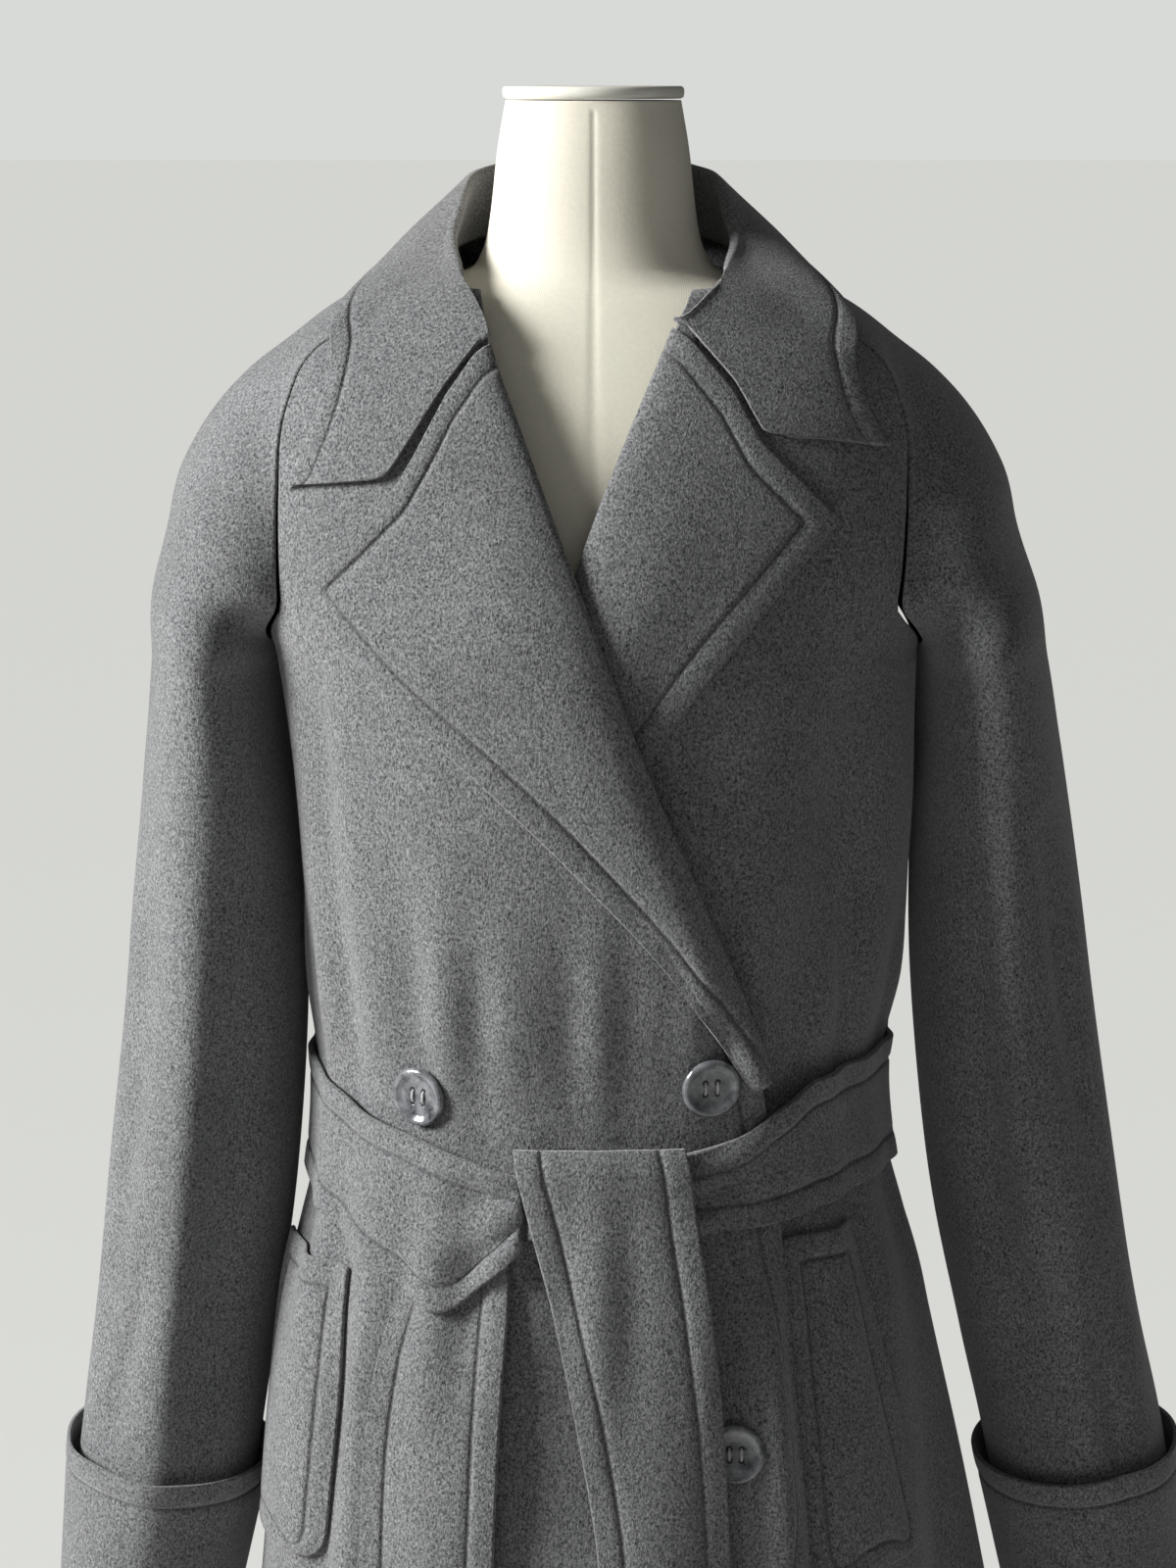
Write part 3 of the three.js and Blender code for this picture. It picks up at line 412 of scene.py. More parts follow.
@dataclass
class ClothWall:
    """A wall of cloth between two skins, with a rounded rim and sewn lines along its edges.

    place gives the inner skin: rows go down and columns to the right as the face is seen.
    """

    name: str
    place: Place
    rows: int
    columns: int
    thickness: float = CLOTH
    closed: bool = False
    stitched: tuple[Edge, ...] = ()
    softened: int = 0

    def shares(self, length: Array, count: int, first: bool, last: bool) -> Array:
        """Places of the grid's lines along one direction: close together near a sewn edge.

        Args: length: the millimetres along each line; count: lines away from the edges.
        Returns: one row of shares for each length.
        """
        steps = EDGE_STEPS[None] / length[:, None] * np.minimum(1, 0.34 * length / 20)[:, None]
        start = steps if first else np.zeros((len(length), 1))
        end = 1 - steps[:, ::-1] if last else np.ones((len(length), 1))
        middle = lerp(start[:, -1:], end[:, :1], np.linspace(0, 1, count + 2)[None, 1:-1])
        return np.concatenate([start, middle, end], axis=1)

    def grid(self) -> Array:
        """Points of the inner skin."""
        down, across = np.meshgrid(np.linspace(0, 1, 60), np.linspace(0, 1, 40), indexing="ij")
        rough = self.place(down, across)
        height = lengths(rough, 0)[-1].mean(keepdims=True)
        rows = self.shares(height, self.rows, Edge.TOP in self.stitched, Edge.BOTTOM in self.stitched)[0]
        if self.closed:
            across = np.broadcast_to(np.arange(self.columns) / self.columns, (len(rows), self.columns))
        else:
            widths = np.interp(rows, np.linspace(0, 1, 60), lengths(rough, 1)[:, -1])
            sides = Edge.LEFT in self.stitched, Edge.RIGHT in self.stitched
            across = self.shares(np.maximum(widths, 4), self.columns, *sides)
        points = self.place(np.broadcast_to(rows[:, None], across.shape).copy(), across.copy())
        return soften(soften(points, self.softened, 0), self.softened, 1) if self.softened else points

    def edge_places(self, points: Array) -> tuple[Array, Array]:
        """Distance from the nearest sewn edge and distance along it, in millimetres."""
        down, across = lengths(points, 0), lengths(points, 1)
        from_edge = np.full(down.shape, NO_EDGE)
        along = np.zeros(down.shape)
        cases = {
            Edge.TOP: (down, across),
            Edge.BOTTOM: (down[-1:] - down, across),
            Edge.LEFT: (across, down),
            Edge.RIGHT: (across[:, -1:] - across, down),
        }
        for edge in self.stitched:
            distance, other = cases[edge]
            nearer = distance < from_edge
            from_edge, along = np.where(nearer, distance, from_edge), np.where(nearer, other, along)
        return from_edge, along

    def build(self) -> bpy.types.Object:
        """Makes the wall. The cloth swells between an edge and its sewn line, and dips at the line."""
        inner = self.grid()
        rows, columns = inner.shape[:2]
        from_edge, along = self.edge_places(inner)
        swell = SWELL * np.sin(np.pi * np.clip(from_edge / STITCH_INSET, 0, 1))
        thick = self.thickness + swell - SUNK_LINE * bump(from_edge - STITCH_INSET, 1.5)
        normal = normals_of(inner, self.closed)
        outer = inner + normal * thick[..., None]
        middle = (inner + outer) / 2
        for skin in (inner, outer):
            self.draw_in(skin)
        skins = [inner.reshape(-1, 3), outer.reshape(-1, 3)]
        quads = grid_quads(rows, columns, self.closed)
        count = rows * columns
        faces = [quads[:, ::-1], quads + count]
        rim_points, start = [], 2 * count
        for loop in self.rim_loops(rows, columns):
            rim_points.append(middle.reshape(-1, 3)[loop])
            here = np.arange(len(loop)) + start
            following, after = np.roll(loop, -1), np.roll(here, -1)
            faces.append(np.stack([following + count, loop + count, here, after], -1))
            faces.append(np.stack([after, here, loop, following], -1))
            start += len(loop)
        uv = np.stack([from_edge, along], -1).reshape(-1, 2) * MILLIMETRE
        rims = np.concatenate(self.rim_loops(rows, columns))
        uv = np.concatenate([uv, uv, uv[rims]])
        return make_object(self.name, np.concatenate(skins + rim_points), np.concatenate(faces), uv)

    def draw_in(self, skin: Array) -> None:
        """Moves the outermost line of a skin in by 0.4 of the wall, which rounds the rim."""
        pairs = [(np.s_[0], np.s_[1]), (np.s_[-1], np.s_[-2])]
        if not self.closed:
            pairs += [(np.s_[:, 0], np.s_[:, 1]), (np.s_[:, -1], np.s_[:, -2])]
        for edge, neighbour in pairs:
            way = skin[neighbour] - skin[edge]
            long = np.maximum(np.linalg.norm(way, axis=-1, keepdims=True), 1e-6)
            skin[edge] += way * np.minimum(0.4 * self.thickness / long, 0.45)

    def rim_loops(self, rows: int, columns: int) -> list[Array]:
        """Point numbers round the wall's open edges."""
        number = np.arange(rows * columns).reshape(rows, columns)
        if self.closed:
            return [number[0, ::-1], number[-1]]
        loop = [number[:-1, 0], number[-1, :-1], number[:0:-1, -1], number[0, :0:-1]]
        return [np.concatenate(loop)]


def lathe(name: str, profile: list[tuple[float, float]], sides: int = 96) -> bpy.types.Object:
    """Turned solid: a profile of radius and height, from the axis round to the axis.

    Args: name: its name; profile: (radius, height) pairs; sides: round the axis.
    Returns: the object.
    """
    data = np.array(profile, float)
    turn = np.linspace(0, 2 * np.pi, sides, endpoint=False)
    radius, height = data[1:-1, 0][:, None], data[1:-1, 1][:, None]
    ring = np.stack(np.broadcast_arrays(radius * np.cos(turn), radius * np.sin(turn), height), -1)
    rows = len(ring)
    ends = [np.array([[0, 0, data[0, 1]]]), np.array([[0, 0, data[-1, 1]]])]
    made = make_object(name, ring.reshape(-1, 3), grid_quads(rows, sides, True))
    close_with_poles(made, ends, rows, sides)
    return made


def close_with_poles(made: bpy.types.Object, ends: list[Array], rows: int, sides: int) -> None:
    """Closes the first and last ring of a turned mesh with a fan round a point.

    Args: made: the open mesh; ends: the two poles, in millimetres; rows, sides: its grid.
    """
    mesh = bmesh.new()
    mesh.from_mesh(made.data)
    points = list(mesh.verts)
    for end, first in zip(ends, (0, (rows - 1) * sides)):
        pole = mesh.verts.new(Vector(end[0] * MILLIMETRE))
        ring = points[first : first + sides]
        for a, b in zip(ring, ring[1:] + ring[:1]):
            mesh.faces.new((a, b, pole))
    bmesh.ops.recalc_face_normals(mesh, faces=mesh.faces)
    for face in mesh.faces:
        face.smooth = True
    mesh.to_mesh(made.data)
    mesh.free()


def tube(name: str, paths: list[Array], radius: float, sides: int = 8) -> bpy.types.Object:
    """Closed round threads along paths of points, all in one mesh, tapered to their ends.

    Args: name: its name; paths: the threads' points; radius: of a thread; sides: round it.
    Returns: the object.
    """
    points, faces, start = [], [], 0
    turn = np.linspace(0, 2 * np.pi, sides, endpoint=False)
    for path in paths:
        way = np.gradient(path, axis=0)
        way /= np.linalg.norm(way, axis=1, keepdims=True)
        side = np.cross(way, [0.3, 0.2, 1.0])
        side /= np.linalg.norm(side, axis=1, keepdims=True)
        other = np.cross(way, side)
        share = np.linspace(-1, 1, len(path))
        size = radius * np.sqrt(np.maximum(1 - share**10, 0.02))
        ring = side[:, None] * np.cos(turn)[:, None] + other[:, None] * np.sin(turn)[:, None]
        shape = path[:, None] + size[:, None, None] * ring
        points.append(shape.reshape(-1, 3))
        faces.append(grid_quads(len(path), sides, True) + start)
        for first in (0, (len(path) - 1) * sides):
            cap = np.arange(sides) + first + start
            for i in range(1, sides - 2, 2):
                faces.append(np.array([[cap[0], cap[i], cap[i + 1], cap[i + 2]]]))
        start += len(path) * sides
    made = make_object(name, np.concatenate(points), np.concatenate(faces))
    mesh = bmesh.new()
    mesh.from_mesh(made.data)
    bmesh.ops.recalc_face_normals(mesh, faces=mesh.faces)
    mesh.to_mesh(made.data)
    mesh.free()
    return made


# ---------------------------------------------------------------- materials


class Shader:
    """Small helper that adds nodes to a tree and links them."""

    def __init__(self, tree: bpy.types.NodeTree) -> None:
        """Args: tree: where the nodes go."""
        self.tree = tree

    def add(self, kind: str, values: dict | None = None, **settings: object) -> bpy.types.Node:
        """Adds a node, sets its properties, and sets or links the inputs named in values."""
        node = self.tree.nodes.new(kind)
        for name, value in settings.items():
            setattr(node, name, value)
        for name, value in (values or {}).items():
            socket = node.inputs[name]
            if isinstance(value, bpy.types.NodeSocket):
                self.tree.links.new(value, socket)
            else:
                socket.default_value = value
        return node

    def maths(self, operation: str, *values: object) -> bpy.types.NodeSocket:
        """Result of a Math node."""
        node = self.add("ShaderNodeMath", dict(enumerate(values)), operation=operation)
        return node.outputs[0]

    def noise(self, vector: object, scale: float, detail: float = 2.0) -> bpy.types.NodeSocket:
        """Noise texture's value."""
        values = {"Vector": vector, "Scale": scale, "Detail": detail, "Roughness": 0.6}
        return self.add("ShaderNodeTexNoise", values).outputs["Fac"]

    def stretch(self, vector: object, scale: tuple[float, float, float]) -> bpy.types.NodeSocket:
        """Vector scaled on its three axes."""
        return self.add("ShaderNodeMapping", {"Vector": vector, "Scale": scale}).outputs[0]

    def spread(self, value: object, low: float, high: float, start: float, end: float) -> object:
        """Value moved from one range to another, held at its ends."""
        values = {"Value": value, "From Min": low, "From Max": high, "To Min": start, "To Max": end}
        return self.add("ShaderNodeMapRange", values).outputs[0]

    def mix(self, share: object, a: object, b: object, how: str = "MIX") -> bpy.types.NodeSocket:
        """Mix of two colours."""
        node = self.add("ShaderNodeMix", data_type="RGBA", blend_type=how)
        for index, value in ((0, share), (6, a), (7, b)):
            if isinstance(value, bpy.types.NodeSocket):
                self.tree.links.new(value, node.inputs[index])
            else:
                node.inputs[index].default_value = value
        return node.outputs[2]


def colour(red: float, green: float, blue: float) -> tuple[float, float, float, float]:
    """Opaque colour from linear values."""
    return red, green, blue, 1.0


def new_group(name: str, inputs: dict[str, str], outputs: dict[str, str]) -> tuple:
    """Node group with named sockets. Returns: the group, its helper, its input and output nodes."""
    group = bpy.data.node_groups.new(name, "ShaderNodeTree")
    for names, way in ((inputs, "INPUT"), (outputs, "OUTPUT")):
        for socket, kind in names.items():
            group.interface.new_socket(socket, in_out=way, socket_type=kind)
    make = Shader(group)
    return group, make, make.add("NodeGroupInput"), make.add("NodeGroupOutput")


def melange_group() -> bpy.types.NodeTree:
    """Mixed dark and pale fibres with a faint nap, from a point in metres."""
    kinds = {"Vector": "NodeSocketVector", "Dark": "NodeSocketColor", "Pale": "NodeSocketColor"}
    outs = {"Color": "NodeSocketColor", "Height": "NodeSocketFloat"}
    group, make, start, end = new_group("Melange", kinds, outs)
    vector = start.outputs["Vector"]
    fine = make.noise(vector, 760, 3)
    fibres = make.noise(make.stretch(vector, (1.5, 1.5, 0.5)), 900, 2)
    broad = make.noise(vector, 16, 3)
    share = make.maths("ADD", make.maths("MULTIPLY", fine, 0.6), make.maths("MULTIPLY", fibres, 0.4))
    mixed = make.mix(make.spread(share, 0.36, 0.66, 0, 1), start.outputs["Dark"], start.outputs["Pale"])
    tone = make.spread(broad, 0.3, 0.7, 0.9, 1.1)
    shade = make.add("ShaderNodeCombineXYZ", {0: tone, 1: tone, 2: tone}).outputs[0]
    group.links.new(make.mix(1.0, mixed, shade, "MULTIPLY"), end.inputs["Color"])
    group.links.new(share, end.inputs["Height"])
    return group


def stitch_group() -> bpy.types.NodeTree:
    """Sewn line beside an edge, from the piece's own map: distance from the edge, and along it."""
    outs = {"Line": "NodeSocketFloat", "Thread": "NodeSocketFloat"}
    group, make, start, end = new_group("Sewn line", {"Vector": "NodeSocketVector"}, outs)
    parts = make.add("ShaderNodeSeparateXYZ", {0: start.outputs["Vector"]})
    off = make.maths("ABSOLUTE", make.maths("SUBTRACT", parts.outputs[0], STITCH_INSET * MILLIMETRE))
    line = make.spread(off, 0.0002, 0.0016, 1, 0)
    wave = make.maths("SINE", make.maths("MULTIPLY", parts.outputs[1], 2 * math.pi / 0.0046))
    dash = make.spread(wave, -0.5, 0.1, 0, 1)
    thread = make.maths("MULTIPLY", make.spread(off, 0.0003, 0.0007, 1, 0), dash)
    group.links.new(line, end.inputs["Line"])
    group.links.new(thread, end.inputs["Thread"])
    return group


def weave_group() -> bpy.types.NodeTree:
    """Plain weave from a point in metres: crossed bands, made uneven by noise."""
    outs = {"Tone": "NodeSocketFloat", "Height": "NodeSocketFloat"}
    group, make, start, end = new_group("Plain weave", {"Vector": "NodeSocketVector"}, outs)
    vector = start.outputs["Vector"]
    noise = make.noise(vector, 420, 3)
    parts = make.add("ShaderNodeSeparateXYZ", {0: vector})
    turn = make.maths("ARCTAN2", parts.outputs[0], parts.outputs[1])
    warp = make.maths("SINE", make.maths("MULTIPLY", turn, 420))
    weft = make.maths("SINE", make.maths("MULTIPLY", parts.outputs[2], 2 * math.pi / 0.0013))
    crossed = make.spread(make.maths("MULTIPLY", warp, weft), -1, 1, 0, 1)
    height = make.maths("ADD", make.maths("MULTIPLY", crossed, 0.5), make.maths("MULTIPLY", noise, 0.5))
    group.links.new(make.spread(height, 0.2, 0.8, 0.88, 1.06), end.inputs["Tone"])
    group.links.new(height, end.inputs["Height"])
    return group


@dataclass(frozen=True)
class WoolFinish:
    """Melange coating cloth."""

    name: str
    dark: tuple
    pale: tuple
    sheen: float = 0.35
    roughness: float = 0.9

    def make(self, melange: bpy.types.NodeTree, sewn: bpy.types.NodeTree) -> bpy.types.Material:
        """Fibres set the colour and a fine bump; sewn lines sink, and painted shade darkens their grooves.
        """
        material, make, shader = new_material(self.name, self.roughness)
        place = make.add("ShaderNodeTexCoord")
        values = {"Vector": place.outputs["Object"], "Dark": self.dark, "Pale": self.pale}
        fibres = make.add("ShaderNodeGroup", node_tree=melange)
        for name, value in values.items():
            if isinstance(value, tuple):
                fibres.inputs[name].default_value = value
            else:
                material.node_tree.links.new(value, fibres.inputs[name])
        stitch = make.add("ShaderNodeGroup", node_tree=sewn)
        material.node_tree.links.new(place.outputs["UV"], stitch.inputs["Vector"])
        # Painted shade: the groove of each sewn line is darkened towards near black.
        line = make.maths("MULTIPLY", stitch.outputs["Line"], 0.42)
        fibres_with_painted_groove_shade = make.mix(line, fibres.outputs["Color"], colour(0.01, 0.01, 0.011))
        thread = make.maths("MULTIPLY", stitch.outputs["Thread"], 0.3)
        base = make.mix(thread, fibres_with_painted_groove_shade, colour(0.09, 0.09, 0.095))
        material.node_tree.links.new(base, shader.inputs["Base Color"])
        dip = make.maths("MULTIPLY", stitch.outputs["Line"], 0.6)
        height = make.maths("SUBTRACT", fibres.outputs["Height"], dip)
        values = {"Height": height, "Strength": 0.75, "Distance": 0.0012}
        material.node_tree.links.new(make.add("ShaderNodeBump", values).outputs[0], shader.inputs["Normal"])
        shader.inputs["Sheen Weight"].default_value = self.sheen
        shader.inputs["Sheen Roughness"].default_value = 0.45
        shader.inputs["Specular IOR Level"].default_value = 0.2
        return material


def new_material(name: str, roughness: float) -> tuple:
    """Material with one Principled shader. Returns: it, a helper for its nodes and the shader."""
    material = bpy.data.materials.new(name)
    material.use_nodes = True
    shader = material.node_tree.nodes["Principled BSDF"]
    shader.inputs["Roughness"].default_value = roughness
    return material, Shader(material.node_tree), shader


def linen_material(weave: bpy.types.NodeTree) -> bpy.types.Material:
    """Cream linen with a fine plain weave."""
    material, make, shader = new_material("linen", 0.85)
    group = make.add("ShaderNodeGroup", node_tree=weave)
    place = make.add("ShaderNodeTexCoord")
    material.node_tree.links.new(place.outputs["Object"], group.inputs["Vector"])
    tone = group.outputs["Tone"]
    shade = make.add("ShaderNodeCombineXYZ", {0: tone, 1: tone, 2: tone}).outputs[0]
    cream = make.mix(1.0, colour(0.78, 0.74, 0.62), shade, "MULTIPLY")
    material.node_tree.links.new(cream, shader.inputs["Base Color"])
    values = {"Height": group.outputs["Height"], "Strength": 0.5, "Distance": 0.0006}
    material.node_tree.links.new(make.add("ShaderNodeBump", values).outputs[0], shader.inputs["Normal"])
    return material


def noise_material(
    name: str, low: tuple, high: tuple, scale: float, roughness: float, metallic: float = 0, coat: float = 0
) -> bpy.types.Material:
    """Material whose colour and gloss vary with noise between two tones."""
    material, make, shader = new_material(name, roughness)
    place = make.add("ShaderNodeTexCoord").outputs["Object"]
    bent = make.noise(place, scale, 5)
    fine = make.noise(place, scale * 6, 3)
    blend = make.spread(make.maths("ADD", bent, make.maths("MULTIPLY", fine, 0.2)), 0.42, 0.78, 0, 1)
    material.node_tree.links.new(make.mix(blend, low, high), shader.inputs["Base Color"])
    rough = make.spread(fine, 0.3, 0.7, roughness * 0.85, roughness * 1.2)
    material.node_tree.links.new(rough, shader.inputs["Roughness"])
    shader.inputs["Metallic"].default_value = metallic
    shader.inputs["Coat Weight"].default_value = coat
    return material


class Materials:
    """Every finish of the object."""

    def __init__(self) -> None:
        """Makes the shared node groups, then each material."""
        melange, sewn = melange_group(), stitch_group()
        dark, pale = colour(0.022, 0.023, 0.025), colour(0.27, 0.272, 0.275)
        self.wool = WoolFinish("wool", dark, pale).make(melange, sewn)
        self.linen = linen_material(weave_group())
        self.cap = noise_material("cap_paint", colour(0.66, 0.65, 0.57), colour(0.74, 0.73, 0.66), 40, 0.4)
        self.horn = noise_material(
            "horn", colour(0.03, 0.032, 0.036), colour(0.24, 0.245, 0.26), 130, 0.2, coat=0.6
        )
        self.thread = noise_material("thread", colour(0.25, 0.25, 0.26), colour(0.5, 0.5, 0.5), 900, 0.8)
        self.steel = noise_material("steel", colour(0.5, 0.5, 0.52), colour(0.62, 0.62, 0.63), 60, 0.35, 1.0)
        self.base = noise_material("base_paint", colour(0.62, 0.61, 0.58), colour(0.7, 0.69, 0.66), 30, 0.45)


# ---------------------------------------------------------------- places of the coat's pieces

RIGHT_EDGE = Table(
    "z x",
    [
        (1402, -55), (1379, -51), (1338, -37), (1266, -10), (1175, 22), (1109, 47), (1016, 78),
        (900, 92), (770, 103), (235, 124),
    ],
)
LEFT_EDGE = Table(
    "z x", [(1402, 48), (1375, 36), (1287, 0), (1175, -36), (1016, -78), (900, -88), (235, -116)]
)


def panel_height(down: Array) -> Array:
    """Heights of a body panel's rows, evenly from the neck to the hem."""
    return lerp(NECK, HEM, down)


def right_front(down: Array, across: Array) -> Array:
    """From the wearer's right side to the closing edge."""
    z = panel_height(down)
    edge = BODY.angle_at(RIGHT_EDGE.read("x", z), z)
    angle = lerp(GAP_ANGLE - BODY.side_seam(z), edge, across)
    return BODY.point(angle, z, BODY.right_lift(angle, z))


def left_front(down: Array, across: Array) -> Array:
    """From the hidden edge to the wearer's left side."""
    z = panel_height(down)
    edge = BODY.angle_at(LEFT_EDGE.read("x", z), z)
    return BODY.point(lerp(edge, BODY.side_seam(z) - GAP_ANGLE, across), z, 0.0)


def coat_back(down: Array, across: Array) -> Array:
    """Round the back, with its neckline rising towards the centre."""
    z = panel_height(down)
    half = BODY.side_seam(z) - GAP_ANGLE
    angle = 180 + half * (2 * across - 1)
    off = np.minimum(np.abs(angle - 180) / BODY.side_seam(z), 1)
    raised = z + NECK_RISE * smoothstep(z, 1330, NECK) * (1 - off**2)
    return BODY.point(angle, raised, 0.0)


@dataclass(frozen=True)
class Lapel:
    """A lapel between the roll and its outer edge; side is -1 on the wearer's right front."""

    side: int
    top: list[tuple[float, float]]
    outer: Table
    roll: Table
    roll_end: float
    base: float

    def lift(self, angle: Array, z: Array) -> Array:
        """Lift of the lapel's cloth over the body."""
        return self.base + (BODY.right_lift(angle, z) if self.side < 0 else 0)

    def place(self, down: Array, across: Array) -> Array:
        """Rows blend from the slanting upper edge; the roll turns down round the front's edge."""
        share = across if self.side > 0 else 1 - across
        (start_x, start_z), (tip_x, tip_z) = self.top[0], self.top[-1]
        roll_z, outer_z = lerp(start_z, self.roll_end, down), lerp(tip_z, self.outer.keys[0], down)
        roll_x, outer_x = self.roll.read("x", roll_z), self.outer.read("x", outer_z)
        edge_x, edge_z = along_line(self.top, share)
        fade = (1 - down) ** 3
        x = lerp(roll_x, outer_x, share) + fade * (edge_x - lerp(start_x, tip_x, share))
        z = lerp(roll_z, outer_z, share) + fade * (edge_z - lerp(start_z, tip_z, share))
        width = np.abs(outer_x - roll_x)
        turned = np.clip(1 - share * width / ROLL_WIDTH, 0, 1) ** 2
        angle = BODY.angle_at(x - self.side * ROLL_REACH * turned, z)
        puff = 3.2 * np.sin(np.pi * np.clip(share * 1.25, 0, 1)) * smoothstep(down, 0.02, 0.3)
        return BODY.point(angle, z, self.lift(angle, z) - 2.6 * turned + puff)


RIGHT_LAPEL = Lapel(
    -1,
    [(-51, 1378), (-68, 1354), (-91, 1311), (-136, 1261)],
    Table("z x", [(1261, -136), (1211, -92), (1173, -51), (1130, -10), (1080, 31), (1014, 71)]),
    RIGHT_EDGE,
    1017,
    LAYER + 2 * LAPEL_EASE,
)
LEFT_LAPEL = Lapel(
    1,
    [(40, 1385), (64, 1357), (78, 1332), (116, 1294)],
    Table("z x", [(1294, 116), (1253, 81), (1217, 51), (1175, 22), (1100, -22), (1030, -66)]),
    LEFT_EDGE,
    1033,
    ON_LEFT + LAPEL_EASE / 2,
)


class Collar:
    """The collar goes from the left notch round the back of the neck to the right notch."""

    stations = Table(
        "at turn roll rollZ seat seatZ edgeTurn edge edgeZ",
        [
            (0, 29, 102, 1379, 102, 1381, 57, 160, 1308),
            (1, 36, 96, 1394, 96, 1395, 58, 160, 1335),
            (2, 50, 86, 1412, 88, 1411, 60, 155, 1362),
            (3, 72, 68, 1428, 74, 1416, 68, 138, 1389),
            (4, 96, 65, 1447, 74, 1417, 92, 112, 1404),
            (5, 124, 70, 1458, 77, 1421, 122, 112, 1398),
            (6, 150, 76, 1462, 80, 1426, 150, 108, 1388),
            (7, 180, 79, 1463, 81, 1428, 180, 108, 1384),
        ],
    )
    ends = {
        -1: [(-52, 1379.5), (-69, 1358), (-97, 1314), (-147, 1308)],
        1: [(41, 1388), (65, 1361), (79, 1336), (142, 1329)],
    }

    def lift(self, side: int, angle: Array, z: Array) -> Array:
        """Lift of the fall over the body."""
        return LAYER + COLLAR_EASE + (BODY.right_lift(angle, z) if side < 0 else 0)

    def half(self, side: int, along: Array, across: Array) -> Array:
        """One half: along is 0 at the notch, across is -1 at the seat, 0 at the roll, 1 at the edge."""
        at = along * 7
        fade = (1 - smoothstep(at, 0, 3)) ** 1.5
        end = self.ends[side]
        fall = np.clip(across, 0, 1)
        notch_x, notch_z = along_line(end, fall)
        notch = np.abs(BODY.angle_at(notch_x, notch_z))
        read = partial(self.stations.read, at=at)
        angle = lerp(lerp(read("turn"), read("edgeTurn"), fall), notch, fade)
        z = lerp(lerp(read("rollZ"), read("edgeZ"), fall), notch_z, fade)
        chord = lerp(read("roll"), read("edge"), fall) + COLLAR_SWELL * np.sin(np.pi * fall)
        under = BODY.lifted(side * angle, z, self.lift(side, side * angle, z))
        outside = polar(side * angle, np.maximum(chord * (1 - fade), under), z)
        end_angle = np.abs(BODY.angle_at(end[0][0], end[0][1]))
        seat_angle = lerp(read("turn"), end_angle, fade) - 2 * (1 - along)
        seat_z = lerp(read("seatZ"), end[0][1] + 3, fade)
        over = BODY.lifted(side * seat_angle, seat_z, self.lift(side, side * seat_angle, seat_z))
        seat = polar(side * seat_angle, lerp(read("seat"), over, fade), seat_z)
        share = np.clip(across + 1, 0, 1)[..., None]
        return np.where(across[..., None] < 0, lerp(seat, outside, share), outside)

    def place(self, down: Array, across: Array) -> Array:
        """A fifth of the rows stand, from the seat to the roll, and the rest fall."""
        stand = down / STAND_SHARE - 1
        share = np.where(down < STAND_SHARE, stand, (down - STAND_SHARE) / (1 - STAND_SHARE))
        along = 1 - np.abs(2 * across - 1)
        left, right = self.half(1, along, share), self.half(-1, along, share)
        return np.where((across <= 0.5)[..., None], left, right)


@dataclass(frozen=True)
class SleeveFold:
    """A fold of a sleeve, at a turn from its outward axis, between two places down it."""

    turn: float
    spread: float
    rise: float
    start: float
    end: float
    lean: float = 0.0

    def at(self, place: Array, turn: Array) -> Array:
        """Rise of the fold, which leans by so many degrees for each section down."""
        share = np.clip((place - self.start) / (self.end - self.start), 0, 1)
        centre = self.turn + self.lean * (place - self.start)
        height = FOLD_DEPTH * self.rise * np.sin(np.pi * share)
        return height * bump(turn_between(turn, centre), self.spread)


